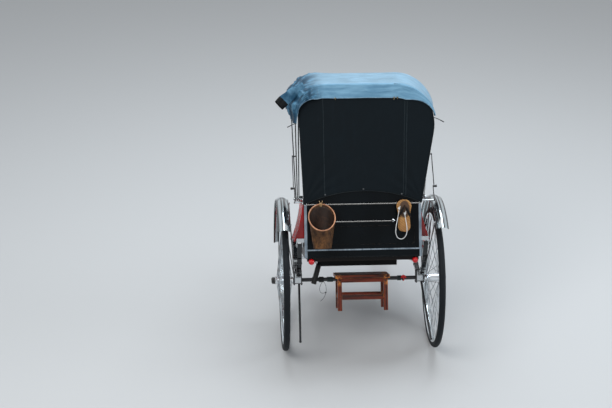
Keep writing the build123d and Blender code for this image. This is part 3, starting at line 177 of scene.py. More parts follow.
def block(low, high, radius=0.002, steps=2):
    """A box with rounded edges: a ball's grid of longitude and latitude, cut at its middle planes and pulled apart."""
    low, high = np.asarray(low, float), np.asarray(high, float)
    centre, half = (low + high) / 2, (high - low) / 2
    radius = min(radius, half.min() * 0.98)
    quarter = np.linspace(0, np.pi / 2, steps + 1)
    longitude = np.concatenate([quarter + np.pi / 2 * k for k in range(4)])
    corner_x = np.repeat([1, -1, -1, 1], steps + 1)
    corner_y = np.repeat([1, 1, -1, -1], steps + 1)
    latitude = np.concatenate([[-np.pi / 2], quarter - np.pi / 2, quarter, [np.pi / 2]])
    corner_z = np.array([-1] + [-1] * (steps + 1) + [1] * (steps + 1) + [1])
    inset = np.ones(len(latitude))
    inset[[0, -1]] = 0
    core = half - radius
    level_radius = radius * np.cos(latitude)[:, None]
    x = corner_x * core[0] * inset[:, None] + level_radius * np.cos(longitude)
    y = corner_y * core[1] * inset[:, None] + level_radius * np.sin(longitude)
    z = np.repeat((corner_z * core[2] + radius * np.sin(latitude))[:, None], len(longitude), 1)
    return grid(np.stack([x, y, z], -1) + centre, False, True, tuple(2 * half[:2]))


def turned_to(part, place, axis):
    """A part made about Z, with its Z turned to an axis and its foot at a place."""
    axis = unit(np.asarray(axis, float))
    first = unit(np.cross(axis, np.eye(3)[np.argmin(np.abs(axis))]))
    turn = np.stack([first, np.cross(axis, first), axis])
    return part[0] @ turn + np.asarray(place, float), part[1], part[2]


def nut(across, height, stud=0.3):
    """Washer, six-sided nut with a turned-down top, and the rounded end of its bolt."""
    r = across / 2 / math.cos(math.pi / 6)
    washer = lathe([(0, 0), (r * 1.25, 0), (r * 1.25, height * 0.2), (0, height * 0.2)], 20)
    body = lathe([(0, height * 0.2), (r, height * 0.2), (r, height * 0.85), (r * 0.86, height), (0, height)], 6)
    bolt = lathe([(r * 0.5, height * 0.9), (r * 0.5, height * (1 + stud)), (r * 0.38, height * (1.12 + stud)),
                  (0, height * (1.12 + stud))], 12)
    return joined([washer, body, bolt])


def dome(radius, height, steps=5, sides=18):
    """A round-headed stud: a quarter ellipse turned about Z."""
    angle = np.linspace(0, np.pi / 2, steps)
    return lathe([(radius, -height * 0.3), *zip(radius * np.cos(angle), height * np.sin(angle))], sides)


def rounded_path(points, radii, count):
    """A line through points with round corners, as evenly spaced points: each corner becomes the arc of its radius
    that touches both runs."""
    points = np.asarray(points, float)
    pieces = [points[:1]]
    share = np.linspace(0, 1, 24)[:, None]
    for a, b, c, radius in zip(points, points[1:], points[2:], radii):
        before, after = unit(a - b), unit(c - b)
        half = math.acos(float(np.clip(before @ after, -1, 1))) / 2
        reach = radius / math.tan(half)
        middle = b + unit(before + after) * radius / math.sin(half)
        start, end = unit(b + before * reach - middle), unit(b + after * reach - middle)
        angle = np.arccos(np.clip(start @ end, -1, 1))
        arc = (np.sin((1 - share) * angle) * start + np.sin(share * angle) * end) / np.sin(angle)
        pieces.append(middle + radius * arc)
    return resampled(np.concatenate([*pieces, points[-1:]]), count)


def rounded_ring(corners, radius, count, skip, search):
    """A closed rounded path: the line runs past its start, and one lap of it from point skip on is kept. The lap ends
    where the line, from point search on, comes back to its own start."""
    line = rounded_path([*corners, corners[0], corners[1]], [radius] * len(corners), count)
    end = int(np.argmin(np.linalg.norm(line[search:] - line[skip], axis=1))) + search
    return line[skip:end]


def resampled(line, count):
    """A line as count points evenly spaced along it."""
    travel = np.concatenate([[0], np.cumsum(np.linalg.norm(np.diff(line, axis=0), axis=1))])
    even = np.linspace(0, travel[-1], count)
    return np.stack([np.interp(even, travel, line[:, k]) for k in range(line.shape[1])], -1)


def waves(u, v, seed, count=12, size=1.0, spread=2.5, lean=None):
    """Gentle unevenness: seeded sines, each lower the shorter its wave, in all about -1 to 1."""
    rng = np.random.default_rng(seed)
    stretch = np.exp(rng.uniform(0, math.log(spread), count))
    heading = rng.uniform(0, np.pi, count) if lean is None else rng.normal(lean, 0.3, count)
    phase = rng.uniform(0, 2 * np.pi, count)
    turns = 2 * np.pi * stretch / size
    travel = (np.asarray(u)[..., None] * np.cos(heading) + np.asarray(v)[..., None] * np.sin(heading)) * turns + phase
    return (np.sin(travel) / stretch).sum(-1) / (1 / stretch).sum() * 2


def creases(u, v, seed, size, lean=None):
    """Sharp folds: where a field of waves crosses zero it makes a crest."""
    return np.exp(-np.abs(waves(u, v, seed, 10, size, 3.0, lean)) * 3.2)


def make_mesh(name, parts, material, body=None, closed=True, flat=False, level=True, grain=None):
    """One object from parts in the level frame, with doubles merged and faces turned outwards. Boards have a grain
    instead of UVs: for each vertex, its place along its own board."""
    verts, faces, uv = joined(parts if isinstance(parts, list) else [parts])
    mesh = bpy.data.meshes.new(name)
    mesh.from_pydata((parked(verts) if level else verts).tolist(), [], faces.tolist())
    if grain is None:
        mesh.uv_layers.new(name="UVMap").data.foreach_set("uv", uv.ravel())
    else:
        mesh.attributes.new("grain", "FLOAT_VECTOR", "POINT").data.foreach_set("vector", grain.ravel())
    work = bmesh.new()
    work.from_mesh(mesh)
    bmesh.ops.remove_doubles(work, verts=work.verts, dist=2e-6)
    bmesh.ops.dissolve_degenerate(work, edges=work.edges, dist=1e-7)
    if closed:
        bmesh.ops.recalc_face_normals(work, faces=work.faces)
    work.to_mesh(mesh)
    work.free()
    mesh.polygons.foreach_set("use_smooth", [not flat] * len(mesh.polygons))
    mesh.materials.append(material)
    if not flat:
        mesh.set_sharp_from_angle(angle=math.radians(42))
    obj = linked(name, mesh)
    if body:
        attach(obj, body)
    return obj


def linked(name, data):
    """A new object in the scene."""
    obj = bpy.data.objects.new(name, data)
    bpy.context.scene.collection.objects.link(obj)
    return obj


def thicken(sheet, thickness, offset=0.0):
    """Give a sheet its thickness: offset 0 is half on each side, and 1 is all outwards."""
    solid = sheet.modifiers.new("thickness", "SOLIDIFY")
    solid.thickness = thickness
    solid.offset = offset
    solid.use_rim = True


# Materials

def arithmetic(operation, swapped=False):
    """An operator of Socket: one Math node, with the other value first if swapped."""
    def apply(self, other):
        return self.graph.node("Math", {"operation": operation}, [other, self] if swapped else [self, other])
    return apply


class Socket:
    """A shader socket. Arithmetic on it adds Math nodes."""

    def __init__(self, graph, socket):
        self.graph, self.socket = graph, socket

    __add__ = __radd__ = arithmetic("ADD")
    __sub__, __rsub__ = arithmetic("SUBTRACT"), arithmetic("SUBTRACT", True)
    __mul__, __truediv__ = arithmetic("MULTIPLY"), arithmetic("DIVIDE")

    def math(self, operation):
        return self.graph.node("Math", {"operation": operation}, [self])

    def clamp(self):
        return self.graph.node("Clamp", {}, [self])

    def ramp(self, low, high):
        """0 at low, 1 at high, eased between."""
        return self.graph.node("MapRange", {"interpolation_type": "SMOOTHSTEP"}, [self, low, high])

    def band(self, middle, outer, inner):
        """1 within inner of the middle, 0 beyond outer, eased between."""
        return (self - middle).math("ABSOLUTE").ramp(outer, inner)


class Graph:
    """A node tree, and nodes made in it by type."""

    def __init__(self, tree):
        self.tree = tree

    def node(self, kind, settings=None, inputs=(), output=0):
        """Any node by its type. Its settings come first, then its sockets by number or name."""
        made = self.tree.nodes.new("ShaderNode" + kind)
        for label, value in (settings or {}).items():
            if label == "stops":
                elements = made.color_ramp.elements
                while len(elements) < len(value):
                    elements.new(0.5)
                for element, (place, tone) in zip(elements, value):
                    element.position, element.color = place, (*tone, 1.0)
            else:
                setattr(made, label, value)
        pairs = inputs.items() if isinstance(inputs, dict) else enumerate(inputs)
        for key, value in pairs:
            if isinstance(value, Socket):
                self.tree.links.new(value.socket, made.inputs[key])
            elif value is not None:
                made.inputs[key].default_value = value
        return Socket(self, made.outputs[output] if made.outputs else None)


class Finish(Graph):
    """A material's node graph round one Principled shader."""

    def __init__(self, name, **constants):
        self.material = bpy.data.materials.new(name)
        self.material.use_nodes = True
        super().__init__(self.material.node_tree)
        self.shader = self.tree.nodes["Principled BSDF"]
        for label, value in constants.items():
            self.shader.inputs[self.label(label)].default_value = value

    def label(self, word):
        return word.replace("_", " ").title().replace("Ior", "IOR")

    def place(self, scale=(1, 1, 1), turn=(0, 0, 0), source="Object", centre=(0, 0, 0)):
        """Object coordinates, or another output of Texture Coordinate, turned and then scaled."""
        return self.stretched(self.node("TexCoord", {}, {}, source), scale, turn, centre)

    def stretched(self, vector, scale, turn=(0, 0, 0), centre=(0, 0, 0)):
        return self.node("Mapping", {}, [vector, centre, turn, scale])

    def level(self, scale=(1, 1, 1)):
        """Object coordinates brought back to the level frame, then scaled."""
        centre = (0, AXLE_Z * PARK_SIN - PARK_SHIFT * PARK_COS, AXLE_Z - PARK_SHIFT * PARK_SIN - AXLE_Z * PARK_COS)
        return self.stretched(self.place(turn=(PARK_PITCH, 0, 0), centre=centre), scale)

    def split(self, vector):
        return [self.node("SeparateXYZ", {}, [vector], k) for k in range(3)]

    def noise(self, vector, scale, detail=4.0, roughness=0.55, distortion=0.0):
        return self.node("TexNoise", {}, {"Vector": vector, "Scale": scale, "Detail": detail,
                                          "Roughness": roughness, "Distortion": distortion}, "Fac")

    def wave(self, vector, scale, distortion, detail, direction):
        return self.node("TexWave", {"bands_direction": direction},
                         {"Vector": vector, "Scale": scale, "Distortion": distortion, "Detail": detail}, "Fac")

    def cells(self, vector, scale, feature="F1"):
        return self.node("TexVoronoi", {"feature": feature}, {"Vector": vector, "Scale": scale}, "Distance")

    def attribute(self, name, output="Fac"):
        return self.node("Attribute", {"attribute_name": name}, {}, output)

    def mix(self, factor, a, b):
        """Colour mix: inputs 6 and 7 are the colours, output 2 is the result."""
        a, b = ((*c, 1.0) if isinstance(c, tuple) and len(c) == 3 else c for c in (a, b))
        return self.node("Mix", {"data_type": "RGBA"}, {0: factor, 6: a, 7: b}, 2)

    def bump(self, height, distance, strength=1.0, normal=None):
        return self.node("Bump", {}, {"Strength": strength, "Distance": distance, "Height": height, "Normal": normal})

    def soft_edges(self, radius=0.0015):
        """The surface's direction as if its edges were rounded."""
        return self.node("Bevel", {"samples": 4}, [radius])

    def edge_mask(self, radius=0.003):
        """1 on sharp edges and 0 on flat faces: how far the rounded direction leaves the true one."""
        rounded = self.soft_edges(radius)
        true = self.node("NewGeometry", {}, {}, "Normal")
        return 1 - self.node("VectorMath", {"operation": "DOT_PRODUCT"}, [rounded, true], 1)

    def use(self, **links):
        """Link values to the shader's sockets."""
        for label, value in links.items():
            self.tree.links.new(value.socket, self.shader.inputs[self.label(label)])
        return self.material


def rgb(red, green, blue):
    """A screen colour of 0 to 255 as the linear colour that a shader takes."""
    return tuple((v / 255 / 12.92) if v <= 10 else ((v / 255 + 0.055) / 1.055) ** 2.4 for v in (red, green, blue))


def tinted(tone, *shares):
    """A colour with every channel multiplied by one share, or each by its own, and no channel above 1."""
    shares = shares * 3 if len(shares) == 1 else shares
    return tuple(min(1.0, share * value) for share, value in zip(shares, tone))


RUBBED = rgb(150, 120, 95)


def lacquer(name, colour, dark, wear=0.35, coat=0.7, level=0.35):
    """Brushed and polished lacquer: cloudy tone with painted shade, a darker copy of the colour, in the low places,
    fine scratches and rubbed edges.
    """
    f = Finish(name, coat_weight=coat, coat_roughness=0.06, specular_ior_level=level)
    spot = f.place()
    cloud = f.noise(spot, 3.5, 5.0)
    fine = f.noise(f.place((30, 260, 260)), 1.0, 3.0)
    scratch = f.noise(f.place((8, 8, 900)), 1.0, 2.0).ramp(0.66, 0.8)
    edge = (f.edge_mask() * 9.0 * f.noise(spot, 60.0).ramp(0.42, 0.66)).clamp()
    # Painted shade: the darker copy of the colour lies where the cloud, which also raises the bump, is low
    tone = f.mix(edge * wear, f.mix(cloud.ramp(0.3, 0.72), dark, colour), RUBBED)
    height = fine * 0.35 + cloud * 0.65 - scratch * 0.1
    return f.use(base_color=tone, roughness=0.16 + cloud * 0.16 + scratch * 0.16,
                 normal=f.bump(height, 0.0006, 0.5, f.soft_edges()))


def chrome(name, tint=(0.7, 0.74, 0.77), grime=(0.1, 0.09, 0.08)):
    """Plated steel: clear reflections, faint polish marks, and grime and pin rust in patches."""
    f = Finish(name, metallic=1.0, specular_ior_level=0.5)
    spot = f.place()
    pits = f.cells(spot, 420.0).ramp(0.16, 0.05) * f.noise(spot, 22.0).ramp(0.56, 0.7)
    dirt = (f.noise(spot, 14.0, 6.0).ramp(0.58, 0.84) * 0.55 + pits * 0.8).clamp()
    return f.use(base_color=f.mix(dirt, tint, grime), roughness=0.07 + f.noise(spot, 55.0) * 0.1 + dirt * 0.4,
                 normal=f.bump(f.noise(spot, 90.0), 0.0002, 0.5, f.soft_edges(0.001)))


def iron(name, colour, rust=(0.11, 0.05, 0.025), amount=0.3):
    """Black-painted iron with thin brush texture, chips and rust at its edges."""
    f = Finish(name, coat_weight=0.15)
    spot = f.place()
    cloud = f.noise(spot, 9.0, 6.0)
    edge = (f.edge_mask(0.0025) * 8.0).clamp() * f.noise(spot, 45.0).ramp(0.4, 0.62)
    chips = (f.noise(spot, 70.0, 6.0).ramp(0.66, 0.72) * cloud.ramp(0.45, 0.6) + edge).clamp()
    tone = f.mix(chips * amount, f.mix(cloud, colour, tinted(colour, 2.6)), rust)
    return f.use(base_color=tone, roughness=0.34 + cloud * 0.22 + chips * 0.25,
                 normal=f.bump(f.noise(spot, 160.0, 3.0) - chips * 0.6, 0.0004, 0.55, f.soft_edges(0.0012)))


def steel(name, colour):
    """Drawn steel wire, dulled by weather."""
    f = Finish(name, metallic=1.0)
    spot = f.place()
    cloud = f.noise(spot, 26.0, 5.0)
    return f.use(base_color=f.mix(cloud.ramp(0.4, 0.75), colour, (0.2, 0.18, 0.16)), roughness=0.2 + cloud * 0.28,
                 normal=f.bump(f.noise(spot, 700.0, 2.0), 0.0001, 0.4))


def rubber(name, colour=(0.017, 0.018, 0.02), dust=(0.075, 0.07, 0.065), scale=500.0, level=0.35):
    """Hard rubber: a fine grain, chalky dust that lies in patches and small nicks."""
    f = Finish(name, specular_ior_level=level)
    spot = f.place()
    cloud = f.noise(spot, 5.0, 6.0)
    grain = f.noise(spot, scale, 3.0)
    nicks = f.noise(spot, 130.0, 6.0, 0.7).ramp(0.68, 0.74)
    tone = f.mix((cloud.ramp(0.44, 0.8) * 0.7 + grain * 0.12).clamp(), colour, dust)
    return f.use(base_color=tone, roughness=0.52 + cloud * 0.25,
                 normal=f.bump(grain * 0.5 - nicks, 0.0005, 0.6, f.soft_edges()))


def canvas(name, colour, light):
    """Proofed canvas by the cloth's UVs in metres: crossed threads, folds rubbed paler and damp-stained patches."""
    f = Finish(name, sheen_weight=0.02, sheen_roughness=0.5, specular_ior_level=0.1)
    cloth, spot = f.place(source="UV"), f.place()
    across, along = (f.wave(cloth, 900 / 6.3, 0.4, 1.0, way) for way in "XY")
    slub = f.noise(f.place((18, 320, 1), source="UV"), 1.0, 3.0)
    cloud = f.noise(spot, 4.5, 7.0, 0.6)
    rubbed = f.noise(f.level((26, 26, 5)), 1.0, 5.0).ramp(0.52, 0.8)
    tone = f.mix((cloud.ramp(0.35, 0.75) * 0.25 + rubbed * 0.3 + slub * 0.15).clamp(), colour, light)
    return f.use(base_color=tone, roughness=0.62 + cloud * 0.2,
                 normal=f.bump(across * along * 0.7 + slub * 0.5, 0.0003, 0.5,
                               f.bump(f.noise(spot, 26.0, 4.0), 0.002, 0.4)))


def vinyl(name, colour, light, dark):
    """Thin coated sheet: crumple lines with a painted highlight on their raised crests, painted shade in its low folds,
    and a soft shine.
    """
    f = Finish(name, coat_weight=0.18, coat_roughness=0.35)
    cloth = f.place(source="UV")
    cloud = f.noise(cloth, 6.0, 6.0, 0.6, 0.6)
    drift = f.node("TexNoise", {}, {"Vector": cloth, "Scale": 9.0, "Detail": 3.0}, "Color")
    drifted = f.node("VectorMath", {"operation": "ADD"}, [cloth, drift])
    crumple = f.cells(drifted, 13.0, "DISTANCE_TO_EDGE").ramp(0.12, 0.0)
    small = f.cells(cloth, 46.0, "DISTANCE_TO_EDGE").ramp(0.1, 0.0)
    # Painted shade: darker where the cloud, which also raises the bump, is low
    tone = f.mix(cloud.ramp(0.32, 0.7), dark, colour)
    # Painted highlight: paler along the raised crumple lines
    tone = f.mix((crumple * 0.5 + small * 0.18).clamp() * cloud.ramp(0.3, 0.6), tone, light)
    height = crumple * 0.7 + small * 0.25 + cloud * 0.8
    return f.use(base_color=tone, roughness=0.4 + cloud * 0.22,
                 normal=f.bump(f.noise(cloth, 900.0, 2.0), 0.0001, 0.4, f.bump(height, 0.003, 0.55)))


def cover_sheeting(name, colour):
    """Thin coated sheet over the hood, with light and shade painted in: the roof painted lit, paler than the tail,
    which is painted in shade, and a painted highlight along the rear bow's edge; painted shade over the bunch, darker
    in its folds, and painted highlights on its crests.
    The mesh's own values for folds, tail and bunch say where."""
    f = Finish(name, coat_weight=0.04, coat_roughness=0.4, specular_ior_level=0.2)
    fold, tail, bunch = (f.attribute(word) for word in ("fold", "tail", "bunch"))
    cloth = f.place(source="UV")
    cloud = f.noise(cloth, 5.0, 6.0, 0.6, 0.5)
    streak = f.noise(f.place((4.0, 18.0, 1), source="UV", turn=(0, 0, 0.7)), 1.0, 5.0, 0.6)
    patch_noise = f.noise(f.place((12.0, 34.0, 1), source="UV", turn=(0, 0, 0.9)), 1.0, 5.0, 0.65)
    # Painted light: a lit copy of the colour on the roof and a shaded copy on the tail
    roof = f.mix((cloud * 0.5 + streak * 0.5).ramp(0.32, 0.7), tinted(colour, 0.9), tinted(colour, 1.42))
    back = f.mix((cloud * 0.4 + streak * 0.6).ramp(0.34, 0.68), tinted(colour, 0.5, 0.72, 0.84),
                 tinted(colour, 1.0, 1.2, 1.28))
    # Painted highlight along the rear bow's edge, where the roof turns down into the tail
    rim = (tail * (1 - tail) * 3.4).clamp()
    # Painted shade: the bunched sheet on the left is painted dark navy
    deep = f.mix(patch_noise.ramp(0.38, 0.66), tinted(colour, 0.02, 0.1, 0.16), tinted(colour, 0.08, 0.3, 0.44))
    # Painted highlight on the crests between the folds, mostly in the bunch
    crest_highlight = ((0.24 - fold) * 3.0).clamp() * patch_noise.ramp(0.44, 0.62) * (bunch * 0.75 + 0.12)
    tone = f.mix(rim, f.mix(tail, roof, back), tinted(colour, 1.6))
    # Painted shade over the bunch, and darker painted shade deep in its folds
    tone = f.mix((bunch * 0.92).clamp(), tone, deep)
    tone = f.mix((fold * 0.85).clamp(), tone, tinted(colour, 0.01, 0.06, 0.1))
    tone = f.mix(crest_highlight.clamp() * 0.7, tone, tinted(colour, 0.8, 1.1, 1.2))
    height = streak * 0.6 + patch_noise * 0.4 + cloud * 0.4
    return f.use(base_color=tone, roughness=0.42 + cloud * 0.2,
                 normal=f.bump(f.noise(cloth, 900.0, 2.0), 0.0001, 0.4, f.bump(height, 0.003, 0.5)))


def flap_vinyl(name, tone):
    """The rolled flap: clouded sheet outside, and painted black on its inner face and at its outer end, as painted
    shade in the roll's hollow.
    """
    f = Finish(name, specular_ior_level=0.12)
    cloth = f.place(source="UV")
    cloud = f.noise(cloth, 9.0, 6.0)
    # Painted shade: the inner face and the open outer end of the roll are painted black
    inside_shade = f.node("NewGeometry", {}, {}, "Backfacing")
    dark = (inside_shade + (f.split(cloth)[0] + cloud * 0.02).ramp(0.2, 0.203)).clamp()
    blue = f.mix(cloud.ramp(0.38, 0.66), tinted(tone, 0.08, 0.2, 0.28), tinted(tone, 0.6, 0.8, 0.9))
    return f.use(base_color=f.mix(dark, blue, (0.003, 0.004, 0.005)), roughness=0.5 + cloud * 0.2,
                 normal=f.bump(cloud, 0.004, 0.6))


def seam_tape(name, tone, thread):
    """Folded tape with two rows of stitches along its UVs in metres."""
    f = Finish(name, roughness=0.7, specular_ior_level=0.12)
    x, y, _ = f.split(f.place(source="UV"))
    rows = (y.band(0.0013, 0.0006, 0.0003) + y.band(0.0052, 0.0006, 0.0003)).clamp()
    stitch = (x * 6.28318 / 0.0052).math("SINE").ramp(-0.1, 0.3) * rows
    cloud = f.noise(f.place(), 40.0, 4.0)
    base = f.mix(stitch, f.mix(cloud.ramp(0.35, 0.7), tinted(tone, 0.6), tone), thread)
    return f.use(base_color=base, roughness=0.6 + cloud * 0.2,
                 normal=f.bump(stitch * 0.8 + cloud * 0.4 - rows * 0.3, 0.0006, 0.7))


def velvet(name, colour, light):
    """Short pile cloth: brushed patches that lie paler, and a fine nap."""
    f = Finish(name, sheen_weight=0.5, sheen_roughness=0.35)
    brushed = f.noise(f.place((7, 16, 16)), 1.0, 5.0, 0.6, 1.2)
    nap = f.noise(f.place(), 1400.0, 2.0)
    tone = f.mix(brushed.ramp(0.35, 0.7) * 0.6 + nap * 0.15, colour, light)
    return f.use(base_color=tone, roughness=0.7 + brushed * 0.2, normal=f.bump(nap, 0.0004, 0.5))


def wood(name, dark, light, worn_and_highlight):
    """Oiled wood: grain along each board, pores, edges brightened by wear and a painted highlight, and the stool's
    upper corners brightest, with wear and a painted highlight.
    """
    f = Finish(name, coat_weight=0.1, coat_roughness=0.25, specular_ior_level=0.3)
    board, spot = f.attribute("grain", "Vector"), f.place()
    rings = f.wave(f.stretched(board, (2.2, 26, 26)), 0.9, 7.0, 3.0, "Y")
    fibre = f.noise(f.stretched(board, (14, 420, 420)), 1.0, 3.0)
    pores = f.noise(f.stretched(board, (40, 900, 900)), 1.0, 2.0).ramp(0.6, 0.7)
    edge = (f.edge_mask(0.006) * 6.0).clamp() * f.noise(spot, 26.0).ramp(0.36, 0.6)
    x, _, z = f.split(f.level())
    # The upper corners, picked by height, are brightened by wear and a painted highlight
    corner_wear_and_highlight = (x - STOOL_X).math("ABSOLUTE").ramp(0.16, 0.182) * z.ramp(0.505, 0.548)
    corner_wear_and_highlight = corner_wear_and_highlight * f.noise(spot, 34.0, 5.0).ramp(0.46, 0.58)
    tone = f.mix(pores * 0.6, f.mix((rings * 0.55 + fibre * 0.45).ramp(0.2, 0.85), dark, light), tinted(dark, 0.3))
    tone = f.mix((edge * 0.85 + corner_wear_and_highlight * 0.9).clamp(), tone, worn_and_highlight)
    return f.use(base_color=tone, roughness=0.3 + fibre * 0.25 + pores * 0.2,
                 normal=f.bump(fibre * 0.6 - pores, 0.0006, 0.5))


def cane(name, colour, dark, light, upright=0.0):
    """Split cane: fibres along each strip, uneven drying and darker upright streaks. It reads the strip's UVs in
    metres.
    """
    f = Finish(name, specular_ior_level=0.2)
    cloud = f.noise(f.place(), 16.0, 6.0)
    fibre = f.noise(f.place((30, 1500, 1), source="UV"), 1.0, 3.0)
    bands = f.noise(f.place((42, 5, 1), source="UV"), 1.0, 3.0)
    standing = f.noise(f.level((230, 230, 9)), 1.0, 4.0, 0.65)
    tone = f.mix((fibre * 0.5 + bands * 0.35).ramp(0.35, 0.75) * 0.6, f.mix(cloud.ramp(0.3, 0.7), dark, colour), light)
    tone = f.mix(standing.ramp(0.47, 0.62) * upright, tone, dark)
    return f.use(base_color=tone, roughness=0.5 + cloud * 0.25,
                 normal=f.bump(fibre + standing * upright, 0.0006, 0.6))


def straw(name):
    """Plaited straw: rows of short bent stalks across the sole, browner where a foot has rubbed it."""
    f = Finish(name, coat_weight=0.05)
    x, y, z = f.split(f.level())
    row = z * 190.0
    zig = (x * 260.0 + row.math("FLOOR") * 1.7).math("SINE") * 0.5 + 0.5
    ridge = (row * 3.14159).math("SINE").math("ABSOLUTE")
    stalk = f.noise(f.level((1600, 300, 90)), 1.0, 3.0)
    cloud = f.noise(f.place(), 22.0, 5.0)
    face = (y * -1.0).ramp(0.5457, 0.5477)
    across, up = (x - 0.309) / 0.042, (z - 1.133) / 0.066
    trodden = face * (1 - (across * across + up * up + cloud * 0.5)).ramp(-0.32, -0.05)
    tone = f.mix((zig * 0.4 + stalk * 0.6).ramp(0.2, 0.8), rgb(140, 92, 44), rgb(206, 156, 86))
    tone = f.mix(face * cloud.ramp(0.3, 0.6) * 0.5, tone, rgb(122, 80, 44))
    tone = f.mix((trodden * 0.9).clamp(), tone, rgb(52, 36, 28))
    # Painted shade: darker in the grooves between the plaited rows
    tone = f.mix((1 - ridge) * 0.35, tone, rgb(84, 50, 28))
    return f.use(base_color=tone, roughness=0.6 + cloud * 0.2,
                 normal=f.bump(ridge * 0.7 + stalk * 0.3 + zig * 0.2, 0.0012, 0.7))


def twisted(name, colour, dark, pitch=55.0):
    """Twisted cord: slanting strands across the tube's UVs, with fluff, and painted shade in the grooves between the
    strands.
    """
    f = Finish(name, sheen_weight=0.2)
    x, y, _ = f.split(f.place(source="UV"))
    strand = ((x * pitch + y) * 6.28318).math("SINE").math("ABSOLUTE")
    spot = f.place()
    cloud = f.noise(spot, 30.0, 4.0)
    # Painted shade: the dark colour lies in the grooves between the strands
    return f.use(base_color=f.mix((strand.ramp(0.0, 0.7) * 0.8 + cloud * 0.2).clamp(), dark, colour),
                 roughness=0.8 + cloud * 0.1, normal=f.bump(strand + f.noise(spot, 1500.0) * 0.2, 0.0008, 0.7))


def hub_chrome(name):
    """Hub: plated barrel, and a black cap beyond the rim's plane."""
    f = Finish(name)
    spot = f.place()
    cap = f.split(spot)[0].math("ABSOLUTE").ramp(0.6605, 0.6612)
    grease = f.noise(spot, 34.0, 5.0).ramp(0.55, 0.8)
    tone = f.mix(cap, f.mix(grease * 0.5, (0.88, 0.91, 0.94), (0.1, 0.09, 0.08)), (0.012, 0.012, 0.013))
    return f.use(base_color=tone, metallic=1 - cap,
                 roughness=0.07 + f.noise(spot, 16.0, 5.0) * 0.1 + grease * 0.3 + cap * 0.2,
                 normal=f.bump(f.noise(spot, 90.0), 0.0002, 0.5, f.soft_edges()))


def floor_finish(name, colour):
    """Plain pale matt floor."""
    f = Finish(name, roughness=0.9, specular_ior_level=0.2)
    return f.use(base_color=f.mix(f.noise(f.place(), 0.7, 2.0) * 0.08, colour, (0.46, 0.475, 0.49)))


def side_lacquer(name, red, black):
    """Body side: black lacquered panel, with the red skirt that stands out from it."""
    f = Finish(name, specular_ior_level=0.06)
    spot = f.place()
    out = f.split(spot)[0].math("ABSOLUTE").ramp(0.4479, 0.4486)
    cloud = f.noise(spot, 3.5, 5.0)
    fine = f.noise(f.place((260, 30, 260)), 1.0, 3.0)
    edge = (f.edge_mask() * 9.0 * f.noise(spot, 60.0).ramp(0.42, 0.66)).clamp()
    dark, bright = (f.mix(cloud.ramp(0.3, 0.72), tinted(tone, 0.5), tone) for tone in (black, red))
    return f.use(base_color=f.mix(edge * 0.3, f.mix(out, dark, bright), RUBBED), roughness=0.16 + cloud * 0.18,
                 normal=f.bump(fine * 0.3 + cloud * 0.7, 0.0006, 0.5, f.soft_edges()))


def blued_trim(name):
    """Corner posts and sill strip: pale blue-grey paint over metal, dulled and chipped along its edges."""
    f = Finish(name, coat_weight=0.4, coat_roughness=0.12, metallic=0.35)
    spot = f.place()
    cloud = f.noise(spot, 8.0, 6.0)
    streak = f.noise(f.level((160, 160, 9)), 1.0, 4.0)
    chips = (f.edge_mask(0.002) * 7.0).clamp() * f.noise(spot, 70.0).ramp(0.44, 0.6)
    tone = f.mix((cloud * 0.5 + streak * 0.5).ramp(0.3, 0.72), rgb(74, 92, 108), rgb(176, 190, 202))
    return f.use(base_color=f.mix(chips * 0.8, tone, (0.03, 0.032, 0.036)), roughness=0.24 + cloud * 0.2,
                 normal=f.bump(streak, 0.0004, 0.5, f.soft_edges(0.001)))


def guard_enamel(name):
    """Mudguard: polished plate in lengthwise bands, with black enamel between them."""
    f = Finish(name, coat_weight=1.0, coat_roughness=0.03, specular_ior_level=0.8)
    spot = f.place()
    cloud = f.noise(spot, 6.0, 5.0)
    dust = f.noise(spot, 38.0, 6.0).ramp(0.58, 0.8)
    wander = f.noise(f.place((3, 3, 3)), 1.0, 3.0) * 0.006
    out = f.split(spot)[0].math("ABSOLUTE") + wander - GUARD_X
    bands = (out.band(0.03, 0.0105, 0.0085) + out.band(0.004, 0.0042, 0.003) + out.band(-0.026, 0.0075, 0.006)).clamp()
    plate = (bands * f.noise(f.place((240, 5, 5)), 1.0, 4.0).ramp(0.2, 0.5)).clamp()
    tone = f.mix(cloud.ramp(0.3, 0.7), (0.004, 0.006, 0.009), (0.012, 0.018, 0.024))
    tone = f.mix(dust * 0.2, f.mix(plate, tone, (0.74, 0.84, 0.88)), (0.16, 0.17, 0.18))
    return f.use(base_color=tone, metallic=plate, roughness=0.09 + cloud * 0.1 + dust * 0.22,
                 normal=f.bump(f.noise(f.place((60, 7, 7)), 1.0, 4.0), 0.0022, 0.5, f.soft_edges()))


# Sizes and colours that a user can change

